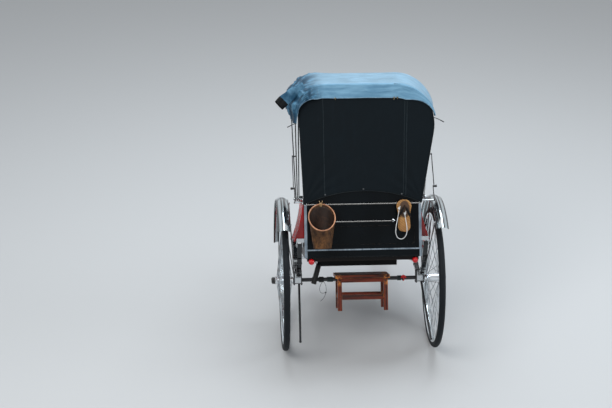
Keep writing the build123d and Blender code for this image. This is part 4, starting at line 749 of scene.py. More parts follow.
class RickshawLooks(bpy.types.PropertyGroup):
    """Colours and sizes of the rickshaw's looks."""

    red: FloatVectorProperty(name="Red lacquer", description="Colour of the body's sides and the shafts",
                             subtype="COLOR", size=3, min=0, max=1, default=rgb(200, 8, 18))
    black: FloatVectorProperty(name="Black lacquer", description="Colour of the back panel, seat box and footwell",
                               subtype="COLOR", size=3, min=0, max=1, default=rgb(9, 15, 19))
    canvas_colour: FloatVectorProperty(name="Hood canvas", description="Colour of the hood's back and top cloth",
                                       subtype="COLOR", size=3, min=0, max=1, default=rgb(9, 17, 22))
    cover_colour: FloatVectorProperty(name="Cover", description="Colour of the sheet over the hood",
                                      subtype="COLOR", size=3, min=0, max=1, default=rgb(118, 148, 168))
    seat_colour: FloatVectorProperty(name="Seat cloth", description="Colour of the cushions",
                                     subtype="COLOR", size=3, min=0, max=1, default=rgb(140, 14, 24))
    floor_colour: FloatVectorProperty(name="Floor", description="Colour of the studio floor",
                                      subtype="COLOR", size=3, min=0, max=1, default=(0.5, 0.515, 0.53))
    cover_crumple: FloatProperty(name="Cover crumple", description="Height of the folds where the cover is bunched up",
                                 subtype="DISTANCE", unit="LENGTH", min=0, max=0.03, default=0.017)
    cover_tail: FloatProperty(name="Cover tail", description="How far the cover hangs down behind the rear bow",
                              subtype="DISTANCE", unit="LENGTH", min=0.05, max=0.14, default=0.112)
    cord_thickness: FloatProperty(name="Cord", description="Thickness of the white cord on the sandals",
                                  subtype="DISTANCE", unit="LENGTH", min=0.003, max=0.008, default=0.0055)
    basket_stakes: IntProperty(name="Basket stakes", description="Number of upright stakes round the basket",
                               min=20, max=60, default=36)


def looks():
    return bpy.context.scene.rickshaw_looks


def colour(name):
    """One of the colour properties as a plain tuple."""
    return tuple(getattr(looks(), name))


made_finishes = {}


def finish(name, make, *args, **settings):
    """A finish made once and then shared."""
    if name not in made_finishes:
        made_finishes[name] = make(name, *args, **settings)
    return made_finishes[name]


def red_lacquer():
    return finish("red_lacquer", lacquer, colour("red"), tinted(colour("red"), 0.42))


def black_lacquer():
    return finish("black_lacquer", lacquer, colour("black"), tinted(colour("black"), 0.55), wear=0.12, coat=0.03,
                  level=0.12)


def black_enamel():
    return finish("black_enamel", lacquer, (0.008, 0.009, 0.011), (0.004, 0.005, 0.006), wear=0.15)


def bright_chrome():
    return finish("bright_chrome", chrome)


def hood_canvas():
    return finish("hood_canvas", canvas, colour("canvas_colour"), tinted(colour("canvas_colour"), 1.9))


def grip_rubber():
    return finish("grip_rubber", rubber, (0.01, 0.01, 0.011), (0.04, 0.04, 0.04))


def dark_twine():
    return finish("dark_twine", twisted, (0.03, 0.03, 0.034), (0.008, 0.008, 0.009), 150.0)


# Stage

CAMERA_SPOT = np.array([-1.0402, -11.8876, 1.6633])
CAMERA_YAW, CAMERA_PITCH, CAMERA_ROLL = (math.radians(turn) for turn in (3.028, 2.403, -0.966))
FLOOR_REACH = 45.0
LAMPS = (  # name, place, size, power, tint
    ("key", (-4.5, -6.0, 7.5), 4.5, 440.0, (1.0, 0.98, 0.95)),
    ("top", (0.5, 1.5, 7.0), 5.0, 330.0, (0.9, 0.96, 1.0)),
    ("side", (7.0, -2.0, 3.2), 3.0, 200.0, (0.93, 0.97, 1.0)),
)
LAMP_AIM = np.array([0.0, -0.5, 0.9])
# Light from the background by height, from straight down to straight up, and its plain colour where it is seen
GLOW = ((0.0, (0.5, 0.52, 0.55)), (0.5, (0.82, 0.84, 0.86)), (0.62, (0.34, 0.37, 0.41)),
        (0.8, (0.95, 0.98, 1.0)), (1.0, (1.0, 1.0, 1.0)))
SEEN_BACKGROUND = (0.9, 0.93, 0.96, 1.0)
BACKGROUND_STRENGTH = 0.58


class RICKSHAW_OT_stage(bpy.types.Operator):
    """Camera, floor, lamps and background"""

    bl_idname = "rickshaw.stage"
    bl_label = "Stage"

    def execute(self, context):
        scene = context.scene
        data = bpy.data.cameras.new("camera")
        data.sensor_width, data.lens, data.clip_end = 36.0, 88.235, 200.0
        scene.camera = linked("camera", data)
        flat_ahead = np.array([math.sin(CAMERA_YAW), math.cos(CAMERA_YAW), 0.0])
        ahead = flat_ahead * math.cos(CAMERA_PITCH) - np.array([0.0, 0.0, math.sin(CAMERA_PITCH)])
        right = np.array([math.cos(CAMERA_YAW), -math.sin(CAMERA_YAW), 0.0])
        above = np.cross(right, ahead)
        c, s = math.cos(CAMERA_ROLL), math.sin(CAMERA_ROLL)
        level_axes = np.array([right * c + above * s, above * c - right * s, -ahead])
        axes = parked(level_axes + CAMERA_SPOT) - parked(CAMERA_SPOT)
        spot = parked(CAMERA_SPOT)
        scene.camera.matrix_world = Matrix([[*axes[:, k].tolist(), float(spot[k])] for k in range(3)] + [[0, 0, 0, 1]])

        ends = (-FLOOR_REACH, FLOOR_REACH)
        floor = make_mesh("studio_floor", grid(np.array([[[x, y, 0.0] for y in ends] for x in ends])),
                          finish("floor", floor_finish, colour("floor_colour")), closed=False, flat=True, level=False)
        for name, place, size, power, tint in LAMPS:
            lamp = bpy.data.lights.new(name, "AREA")
            lamp.shape, lamp.size, lamp.energy, lamp.color = "SQUARE", size, power, tint
            linked(name, lamp).matrix_world = Matrix.Translation(place) @ aimed(LAMP_AIM - np.array(place))

        world = bpy.data.worlds.new("studio")
        scene.world = world
        world.use_nodes = True
        sky = Graph(world.node_tree)
        sky.tree.nodes.clear()
        height = sky.node("SeparateXYZ", {}, [sky.node("TexCoord", {}, {}, "Generated")], 2)
        glow = sky.node("ValToRGB", {"stops": GLOW}, [sky.node("MapRange", {}, [height, -1.0, 1.0])])
        seen = sky.node("LightPath", {}, {}, "Is Camera Ray")
        for ray in ("Is Glossy Ray", "Is Transmission Ray"):
            seen = sky.node("Math", {"use_clamp": True}, [seen, sky.node("LightPath", {}, {}, ray)])
        tone = sky.node("Mix", {"data_type": "RGBA"}, {0: seen, 6: glow, 7: SEEN_BACKGROUND}, 2)
        back = sky.node("Background", {}, {"Color": tone, "Strength": BACKGROUND_STRENGTH})
        sky.node("OutputWorld", {}, [back])
        scene.view_settings.view_transform = "Standard"
        return {"FINISHED"}


def aimed(direction):
    """A turn that points a lamp's -Z along a direction."""
    back = -unit(direction)
    side = unit(np.cross([0.0, 0.0, 1.0], back))
    return Matrix(np.stack([side, np.cross(back, side), back], 1).tolist()).to_4x4()


# Cord

CORD_POINTS = (  # x, z and lean-in of each point of the cord's route, over the outer sole
    (0.268, 1.135, 0.0), (0.262, 1.098, 0.0), (0.254, 1.055, 0.0), (0.244, 1.012, 0.0), (0.239, 0.972, 0.0),
    (0.241, 0.942, 0.004), (0.253, 0.916, 0.014), (0.276, 0.904, 0.019), (0.300, 0.909, 0.016), (0.317, 0.929, 0.008),
    (0.325, 0.955, 0.0), (0.326, 0.990, 0.0), (0.321, 1.028, 0.0), (0.315, 1.062, 0.0), (0.311, 1.094, 0.0),
)
CORD_FACE_Y = -0.55215
AXLE_CORD_POINTS = (  # x, y and z from the free end up, round and back to the knot
    (-0.310, -0.013, 0.388), (-0.291, -0.013, 0.403), (-0.273, -0.013, 0.430), (-0.264, -0.013, 0.459),
    (-0.261, -0.013, 0.490), (-0.267, -0.013, 0.519), (-0.285, -0.014, 0.5515), (-0.305, -0.014, 0.523),
    (-0.317, -0.015, 0.492), (-0.312, -0.015, 0.463), (-0.295, -0.016, 0.449), (-0.272, -0.018, 0.455),
)


def hang_cord(name, points, thickness, material, node):
    """A cord that stands for its CAD node: a smooth curve steered by the route's points."""
    curve = bpy.data.curves.new(name, "CURVE")
    curve.dimensions = "3D"
    curve.bevel_depth = thickness / 2
    curve.bevel_resolution = 5
    curve.resolution_u = 12
    curve.use_fill_caps = True
    route = parked(points)
    line = curve.splines.new("NURBS")
    line.points.add(len(route) - 1)
    line.points.foreach_set("co", np.concatenate([route, np.ones((len(route), 1))], 1).ravel())
    line.order_u = 3
    line.use_endpoint_u = True
    curve.materials.append(material)
    loop = linked(name, curve)
    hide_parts(node)
    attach(loop, "carriage")


class RICKSHAW_OT_cord(bpy.types.Operator):
    """White cord looped over the sandals, with a knot at each end"""

    bl_idname = "rickshaw.cord"
    bl_label = "Sandal cord"

    def execute(self, context):
        thickness = looks().cord_thickness
        cotton = finish("white_cotton", twisted, (0.8, 0.81, 0.81), (0.42, 0.43, 0.44))
        ends = (("cord_knot_left", CORD_POINTS[0], 0.0075), ("cord_knot_right", CORD_POINTS[-1], 0.009))
        for name, (x, z, _), size in ends:
            knot = trefoil(72, size / 3, 0.8) + np.array([x, CORD_FACE_Y - size * 0.12, z + size * 0.6])
            share = np.linspace(0, 1, 12)
            tail = np.array([x, CORD_FACE_Y, z + size]) + np.outer(share, [0.006, 0.0, 0.016]) + np.outer(
                np.sin(share * np.pi), [0.003, -0.002, 0.0])
            parts = [tube(knot, thickness * 0.5, 10, closed=True), tube(tail, thickness * 0.42, 10)]
            make_mesh(name, parts, cotton, "carriage")
        route = np.array([(x, CORD_FACE_Y + lean, z) for x, z, lean in CORD_POINTS])
        hang_cord("sandal_loop", route, thickness, cotton, "sandal_cord")
        return {"FINISHED"}


# Hood

def leg_x(side, base, reach):
    """A bow leg's distance along X at a reach from the pivot."""
    slope = HOOD_RIGHT_SLOPE if side > 0 else HOOD_LEFT_SLOPE
    return side * base + slope * reach


def bow_section(base, reach, gap, drops, count):
    """The line over a bow, as x and reach: up the left leg, round both shoulders and down the right leg."""
    half = BOW_HALF_THICK + gap
    top = reach + half
    lows, tops = ([(leg_x(side, base, at) + side * half, at) for side, at in zip(SIDES, heights)]
                  for heights in ([top - drop for drop in drops], [top, top]))
    return rounded_path([lows[0], *tops, lows[1]], [r + half for r in SHOULDERS], count)


def in_bow_plane(section, angle):
    """x and reach as points of the level frame, at an angle above +Y about the hood's pivot."""
    a = np.radians(angle)
    return np.stack([section[..., 0], PIVOT_Y + section[..., 1] * np.cos(a), PIVOT_Z + section[..., 1] * np.sin(a)], -1)


def bow_crown(bow):
    """y and z of the middle of a bow's top, from the hood's pivot."""
    angle = math.radians(BOW_ANGLE[bow])
    return BOW_REACH[bow] * math.cos(angle), BOW_REACH[bow] * math.sin(angle)


def between_bows(a, b, share):
    """Base, reach and angle at a share of the straight line from bow a's crown to bow b's."""
    (ya, za), (yb, zb) = bow_crown(a), bow_crown(b)
    y, z = ya + (yb - ya) * share, za + (zb - za) * share
    return BOW_BASE[a] + (BOW_BASE[b] - BOW_BASE[a]) * share, math.hypot(y, z), math.degrees(math.atan2(z, y))


def stitched_strip(path, width, out, lift=0.0006):
    """A flat strip with rounded edges carried along a path, its face turned to out."""
    face = unit(np.broadcast_to(np.asarray(out, float), path.shape))
    side = unit(np.cross(directions(path), face))
    v = np.linspace(-1, 1, 7)
    rise = lift * (1 - np.abs(v) ** 4)
    points = path[:, None] + side[:, None] * (v * width / 2)[None, :, None] + face[:, None] * rise[None, :, None]
    return grid(points, size=(path_length(path), width))


def back_y(z):
    """The back cloth's inner face: it leans forward from the back panel's arched top to the rear bow's crown."""
    return BODY_REAR - 0.00095 + (z - BACK_ARCH_MID) * BACK_SLOPE


class RICKSHAW_OT_hood_back(bpy.types.Operator):
    """Back cloth of the hood, from the rear bow to the arched back panel, with seams, bound edges and studs"""

    bl_idname = "rickshaw.hood_back"
    bl_label = "Hood back cloth"

    top = PIVOT_Z + bow_crown(0)[1] + BOW_HALF_THICK
    foot_x = 0.452
    hem_below_panel = 0.025

    def edges(self, z):
        """x of the cloth's left and right edge at a height."""
        edge = BOW_HALF_THICK + 0.005
        left, right = (leg_x(side, BOW_BASE[0], BOW_REACH[0]) + side * edge for side in SIDES)
        low = BACK_ARCH_EDGE - self.hem_below_panel
        outline = rounded_path([(-self.foot_x, low), (left, self.top), (right, self.top), (self.foot_x, low)],
                               [radius + edge for radius in SHOULDERS], 900)
        across, height = outline.T
        first, last = np.nonzero(height > self.top - 1e-6)[0][[0, -1]]
        return (np.interp(z, height[:first + 1], across[:first + 1]),
                np.interp(z, height[last:][::-1], across[last:][::-1]))

    def hem(self, x):
        """Height of the hem: a circular arch from the corners to the middle, just under the panel's top."""
        rise = BACK_ARCH_MID - BACK_ARCH_EDGE
        radius = (0.43 ** 2 + rise ** 2) / (2 * rise)
        return BACK_ARCH_MID - self.hem_below_panel - radius + np.sqrt(np.maximum(radius ** 2 - x ** 2, 0))

    def surface(self, a, b):
        """Cloth at a across and b up: rows run from the arched hem to the rear bow's line, and every row spans the
        two edges at its own height. Pull folds fan out of the lower corners, and the middle sags towards the seat."""
        hem = self.hem((a * 2 - 1) * self.foot_x)
        z = hem + (self.top - 0.0002 - hem) * b
        left, right = self.edges(z)
        x = left + (right - left) * a
        sag = 0.004 * np.sin(np.pi * a) * np.sin(np.pi * np.clip(b * 1.05, 0, 1))
        fan = 0
        for across, near, phase in ((a - 0.02, a, 0.4), (0.98 - a, 1 - a, 1.9)):
            far = np.hypot(across * 1.1, b)
            fan = fan + np.exp(-(far / 0.34) ** 2) * np.sin(np.arctan2(b + 0.02, near + 0.02) * 17 + phase)
        drape = waves(x, z, 5, 14, 0.55, 3.0, 0.1) * 0.0028 + waves(x, z, 9, 12, 0.16, 2.5) * 0.0008
        free = smooth(b / 0.1) * smooth((1 - b) / 0.08)
        y = back_y(z) - 0.0028 + (sag + drape * 0.8 - 0.0028 * fan) * free
        return np.stack([x, np.minimum(y, back_y(z) - 0.0015 + 0.004 * free), z], -1)

    def execute(self, context):
        a = np.linspace(0, 1, 131)
        b = np.concatenate([np.linspace(0, 0.86, 84), 1 - 0.14 * (1 - np.linspace(0, 1, 26)[1:]) ** 1.8])
        points = self.surface(*np.meshgrid(a, b, indexing="ij"))
        cloth = make_mesh("hood_back_sheet", grid(points, size=(1.05, 0.86)), hood_canvas(), None,
                          closed=False)
        thicken(cloth, CLOTH_THICKNESS)
        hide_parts("hood_cloth_back")

        seams = []
        up = np.linspace(0.01, 0.985, 120)
        left, right = self.edges(self.surface(np.full(len(up), 0.5), up)[:, 2])
        for low, high in ((-0.291, -0.291), (0.338, 0.357), (0.32, 0.339)):
            line = self.surface((np.linspace(low, high, len(up)) - left) / (right - left), up)
            line[:, 1] -= 0.0012
            seams.append(stitched_strip(line, 0.0065, (0, -1, 0.06)))
        tape = finish("seam_tape", seam_tape, rgb(26, 36, 41), rgb(54, 64, 69))
        seam = make_mesh("hood_back_seams", seams, tape, None, closed=False)
        thicken(seam, 0.0008, 1.0)

        rise = np.linspace(0, 1, 140) ** 0.7
        bound = [tube(self.surface(np.full(len(rise), end), rise), 0.0032, 10) for end in (0.0, 1.0)]
        bound.append(tube(self.surface(np.linspace(0, 1, 160), np.zeros(160)), 0.003, 10))
        binding = finish("edge_binding", canvas, rgb(22, 27, 30), rgb(44, 48, 50))
        edge = make_mesh("hood_back_binding", bound, binding, None)
        for piece in (cloth, seam, edge):
            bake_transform(piece)

        studs = []
        for x in (-0.288, 0.006, 0.3):
            z = float(self.hem(np.array(x))) + 0.013
            studs.append(turned_to(dome(0.0065, 0.0045), (x, back_y(z) - 0.0048, z), (0, -1, 0.06)))
        make_mesh("hem_studs", studs, finish("stud_iron", iron, (0.03, 0.034, 0.037)), "carriage")
        return {"FINISHED"}


class RICKSHAW_OT_hood_top(bpy.types.Operator):
    """Top cloth of the hood in two spans, sagging between the bows, each running a hem's width past its end bow"""

    bl_idname = "rickshaw.hood_top"
    bl_label = "Hood top cloth"

    def execute(self, context):
        across, rows, hem = 150, 34, 0.013
        t = np.linspace(0, 1, across)[:, None]
        centre = np.array([0.0, PIVOT_Y, PIVOT_Z + 0.35])
        for name, a, b, start, end, node, bodies in (
                ("hood_rear_span", 0, 1, -hem, 0.0, "hood_cloth_rear", ("rear_bow", "mid_bow")),
                ("hood_front_span", 1, 2, 0.0, hem, "hood_cloth_front", ("mid_bow", "front_bow"))):
            share = np.linspace(start, 1 + end, rows)
            sections = []
            for base, reach, angle in (between_bows(a, b, s) for s in share):
                sections.append(in_bow_plane(bow_section(base, reach, 0.0028, (0.25, 0.375), across), angle))
            points = np.stack(sections, 1)
            slack = np.sin(np.pi * np.clip(share, 0, 1))[None]
            sag = 0.012 * slack * smooth(t / 0.2) * smooth((1 - t) / 0.2)
            flutter = waves(t * 1.8, share[None] * 0.35, 31 + a, 14, 0.3, 3.0) * 0.003 * slack
            points = points + unit(centre - points) * (sag + np.abs(flutter))[..., None]
            cloth = make_mesh(name, grid(points, size=(1.9, 0.37)), hood_canvas(), None, closed=False)
            thicken(cloth, CLOTH_THICKNESS)
            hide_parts(node)
            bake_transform(cloth)
        return {"FINISHED"}


class RICKSHAW_OT_cover(bpy.types.Operator):
    """Sheet over the hood: it wraps the rear bow, hangs down behind and is bunched up on the left"""

    bl_idname = "rickshaw.cover"
    bl_label = "Hood cover"

    gap = 0.0085
    right_drop = 0.262
    count = 330
    roof_rows, tail_rows = 44, 30

    def line(self, station, extra=0.0):
        """The cover's line over a station between the bows, cut where it has gone down far enough on the right."""
        base, reach, angle = station
        section = bow_section(base, reach, self.gap + extra, (0.292, 0.3), 4 * self.count)
        kept = (section[:, 0] < 0) | (section[:, 1] > section[:, 1].max() - self.right_drop)
        return in_bow_plane(resampled(section[kept], self.count), angle)

    def roof(self):
        """Rows from just ahead of the middle bow back to the rear bow."""
        base, reach, angle = between_bows(1, 2, 0.14)
        stations = [between_bows(0, 1, s) for s in np.linspace(0.03, 1.0, self.roof_rows)]
        return [self.line((base, reach + 0.002, angle), 0.004), self.line(between_bows(1, 2, 0.07), 0.002),
                *(self.line(station) for station in stations[::-1])]

    def tail(self, t):
        """Rows below the rear bow, in the back cloth's plane: each is the bow's outline moved inwards by a share of the
        tail's width."""
        edge = self.line((BOW_BASE[0], BOW_REACH[0], BOW_ANGLE[0]))
        along = directions(edge[:, [0, 2]])
        inward = np.stack([along[:, 1], -along[:, 0]], -1)
        width = looks().cover_tail * (0.3 + 0.7 * smooth((t - 0.07) / 0.17))
        width *= 1 - 0.95 * smooth((t - 0.77) / 0.23) ** 0.8
        width *= 1 + 0.035 * waves(t * 2, t * 0, 71, 8, 0.9)
        rows = []
        for s in np.linspace(0, 1, self.tail_rows):
            turn = smooth(s / 0.12)
            x, z = (edge[:, [0, 2]] + inward * (width * s)[:, None]).T
            over = edge[:, 1] - 0.0185 * math.sin(min(1.0, s / 0.12) * math.pi / 2)
            rows.append(np.stack([x, over * (1 - turn) + (back_y(z) - self.gap) * turn, z], -1))
        return rows

    def execute(self, context):
        t = np.linspace(0, 1, self.count)
        points = np.stack([*self.roof(), *self.tail(t)], 1)
        rows = points.shape[1]
        distance = np.concatenate([[0], np.cumsum(np.linalg.norm(np.diff(points[self.count // 2], axis=0), axis=1))])
        length = path_length(points[:, rows // 2])
        U, V = np.meshgrid(t * length, distance, indexing="ij")
        past_bow = V - distance[self.roof_rows + 1]

        # Folds: deep where the sheet is bunched over the left shoulder, long and shallow elsewhere
        normal = unit(np.cross(np.gradient(points, axis=1), np.gradient(points, axis=0)))
        centre = np.array([0.03, PIVOT_Y, PIVOT_Z + 0.45])
        normal = np.where(((points - centre) * normal).sum(-1, keepdims=True) < 0, -normal, normal)
        T = np.repeat(t[:, None], rows, 1)
        bunched = smooth((0.33 - T) / 0.2)
        loose = 0.12 + 0.88 * smooth(np.minimum(V, distance[-1] - V) / 0.06 + 0.25)
        tight = smooth(np.abs(past_bow) / 0.035) * 0.9 + 0.1
        folds = (creases(U, V, 21, 0.4, 1.2) - 0.35) * 0.0026 + waves(U, V, 22, 14, 0.5, 3.0, 1.15) * 0.0026
        fine = (creases(U, V, 25, 0.14, 1.1) - 0.3) * 0.0008
        deep = (creases(U, V, 23, 0.24, 0.6) * 1.3 + waves(U, V, 24, 16, 0.3, 3.0, 0.55)) * looks().cover_crumple
        crumple = (creases(U, V, 26, 0.09, 0.6) - 0.3) * 0.0018
        bulge = 0.024 * bunched * smooth((T - 0.02) / 0.1)
        rise = (folds * 1.1 + fine) * loose * tight
        rise = rise + (np.maximum(deep, -0.002) + crumple + bulge) * bunched * (0.35 + 0.65 * tight)
        rise = np.maximum(rise, -0.0015) * (0.3 + 0.7 * smooth(T / 0.06))
        points = points + normal * rise[..., None]
        # The left edge swings out from the bows like a hanging lobe
        lobe = smooth((0.16 - T) / 0.16)
        points[..., 0] -= lobe * 0.05 * (0.8 + 0.2 * np.sin(V * 9 + 0.8))
        points[..., 1] -= lobe * 0.012
        points[..., 2] += 0.012 * lobe * np.sin(V * 8)
        sheeting = finish("cover_vinyl", cover_sheeting, colour("cover_colour"))
        cover = make_mesh("cover_sheet", grid(points, size=(length, float(distance[-1]))), sheeting, None,
                          closed=False)
        # Values that the finish reads at each vertex: how deep in the folds, where it paints shade; how far down the
        # tail, which it paints in shade below the roof's painted light; how much bunched up, where it paints shade with
        # highlights on the crests
        relief = deep + crumple
        deepest, middling = np.percentile(relief, (12, 62))
        for word, values in (("fold", smooth((middling - relief) / (middling - deepest)) * bunched),
                             ("tail", smooth((past_bow - 0.006) / 0.008)), ("bunch", smooth((0.31 - T) / 0.13))):
            if len(cover.data.vertices) != values.size:
                raise RuntimeError("the cover's grid lost vertices")
            cover.data.attributes.new(word, "FLOAT", "POINT").data.foreach_set("value", values.ravel())
        thicken(cover, 0.0009)
        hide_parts("vinyl_cover")
        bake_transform(cover)

        hem = make_mesh("cover_hem", tube(points[6:-6, -1], 0.0024, 8), finish("cover_hem", vinyl, rgb(116, 150, 172),
                        rgb(158, 186, 204), rgb(58, 86, 108)), "rear_bow")
        flap = self.flap()
        self.fasteners()
        return {"FINISHED"}

    def fasteners(self):
        """A tie that sticks out at each end of the cover, and clips along the rear bow."""
        ties, clips = [], []
        s = np.linspace(0, 1, 14)
        for way, x, z, reach, drop in ((-1, -0.497, 1.8, 0.07, 0.03), (1, 0.556, 1.828, 0.08, 0.036)):
            line = np.stack([x + way * reach * s, back_y(z) - 0.008 - 0.006 * np.sin(s * 3), z - drop * s ** 1.3], -1)
            ties.append(tube(line, 0.0028 + 0.0014 * smooth((s - 0.55) / 0.3), 10))
        make_mesh("cover_ties", ties, black_enamel(), "rear_bow")
        z = 1.984
        y = back_y(z)
        for x in (-0.196, 0.257, 0.281):
            clips.append(block((x - 0.006, y - 0.0155, z - 0.005), (x + 0.006, y - 0.0105, z + 0.007), 0.0018))
            clips.append(tube([(x, y - 0.0125, z + 0.004), (x, y - 0.013, z - 0.013)], 0.0018, 8))
        make_mesh("cover_clips", clips, finish("aged_brass", chrome, (0.24, 0.2, 0.13), (0.1, 0.07, 0.03)), "rear_bow")

    def flap(self):
        """The rolled flap that sticks out to the left: a flattened tube with ripples along it."""
        u, v = np.linspace(0, 1, 60), np.linspace(0, 2 * np.pi, 73)
        start, end = np.array([-0.43, -0.40, 2.07]), np.array([-0.628, -0.452, 1.934])
        path = start + np.outer(u, end - start) + np.outer(np.sin(u * np.pi) * 0.022, [0.2, 0, 1])
        along = directions(path)
        side = unit(np.cross(along, [0, 1.0, 0.1]))
        deep = np.cross(side, along)
        half_width, half_depth = 0.042, 0.012 + 0.009 * u
        U, V = np.meshgrid(u, v, indexing="ij")
        ripple = 1 + 0.1 * np.sin(V * 3 + U * 5) + 0.07 * np.sin(V * 7 - U * 9) + 0.05 * waves(U, V, 44, 12, 0.8)
        points = (path[:, None] + side[:, None] * (half_width * np.cos(V) * ripple)[..., None] +
                  deep[:, None] * (half_depth[:, None] * np.sin(V) * ripple)[..., None])
        flap = make_mesh("cover_flap", grid(points, size=(0.236, 0.16)),
                         finish("flap_vinyl", flap_vinyl, colour("cover_colour")), None, closed=False)
        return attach(flap, "rear_bow")


# Upholstery

def inflated(obj, pressure, cap, voxel, rest_low, frames=20):
    """Remesh a closed form evenly, blow it up with the Cloth solver and keep the move of every point under a cap.
    Points on the form's underside stay where they are, because they rest on something."""
    context = bpy.context
    bpy.ops.object.select_all(action="DESELECT")
    context.view_layer.objects.active = obj
    obj.select_set(True)
    remesh = obj.modifiers.new("even", "REMESH")
    remesh.mode = "VOXEL"
    remesh.voxel_size = voxel
    bpy.ops.object.modifier_apply(modifier="even")
    before = mesh_points(obj)
    group = obj.vertex_groups.new(name="resting")
    held = np.nonzero(rest_low(before))[0]
    group.add([int(k) for k in held], 1.0, "REPLACE")
    cloth = obj.modifiers.new("cloth", "CLOTH")
    cloth.settings.quality = 5
    cloth.settings.mass = 0.3
    cloth.settings.tension_stiffness = cloth.settings.compression_stiffness = 18
    cloth.settings.shear_stiffness = 8
    cloth.settings.bending_stiffness = 0.6
    cloth.settings.use_pressure = True
    cloth.settings.uniform_pressure_force = pressure
    cloth.settings.effector_weights.gravity = 0
    cloth.settings.vertex_group_mass = "resting"
    cloth.collision_settings.use_collision = False
    scene = context.scene
    for number in range(1, frames + 1):
        scene.frame_set(number)
    bpy.ops.object.modifier_apply(modifier="cloth")
    scene.frame_set(1)
    after = mesh_points(obj)
    move = after - before
    size = np.linalg.norm(move, axis=1, keepdims=True)
    obj.data.vertices.foreach_set("co", (before + move * np.minimum(1, cap / np.maximum(size, 1e-9))).ravel())
    obj.data.update()
    return before


def mesh_points(obj):
    points = np.zeros(len(obj.data.vertices) * 3)
    obj.data.vertices.foreach_get("co", points)
    return points.reshape(-1, 3)


def groove(distance, width, depth):
    """A sewn channel: depth at its middle, falling away as a bell of the given width."""
    return depth * np.exp(-(distance / width) ** 2)


def finer(obj):
    """Smooth shading and one live subdivision."""
    obj.data.polygons.foreach_set("use_smooth", [True] * len(obj.data.polygons))
    sub = obj.modifiers.new("finer", "SUBSURF")
    sub.levels = sub.render_levels = 1
    return obj


def piping(name, corners, radius, thickness, target, material):
    """Corded piping: a round line through corners, drawn onto the cushion's surface."""
    loop = parked(rounded_ring(corners, radius, 400, 60, 200))
    tree = BVHTree.FromObject(target, bpy.context.evaluated_depsgraph_get())
    drawn = np.array([tuple(tree.find_nearest(tuple(p))[0]) for p in loop])
    kernel = np.ones(9) / 9
    drawn = np.stack([np.convolve(np.concatenate([drawn[-4:, k], drawn[:, k], drawn[:4, k]]), kernel, "valid")
                      for k in range(3)], -1)
    make_mesh(name, tube(drawn, thickness, 10, closed=True), material, "carriage", level=False)


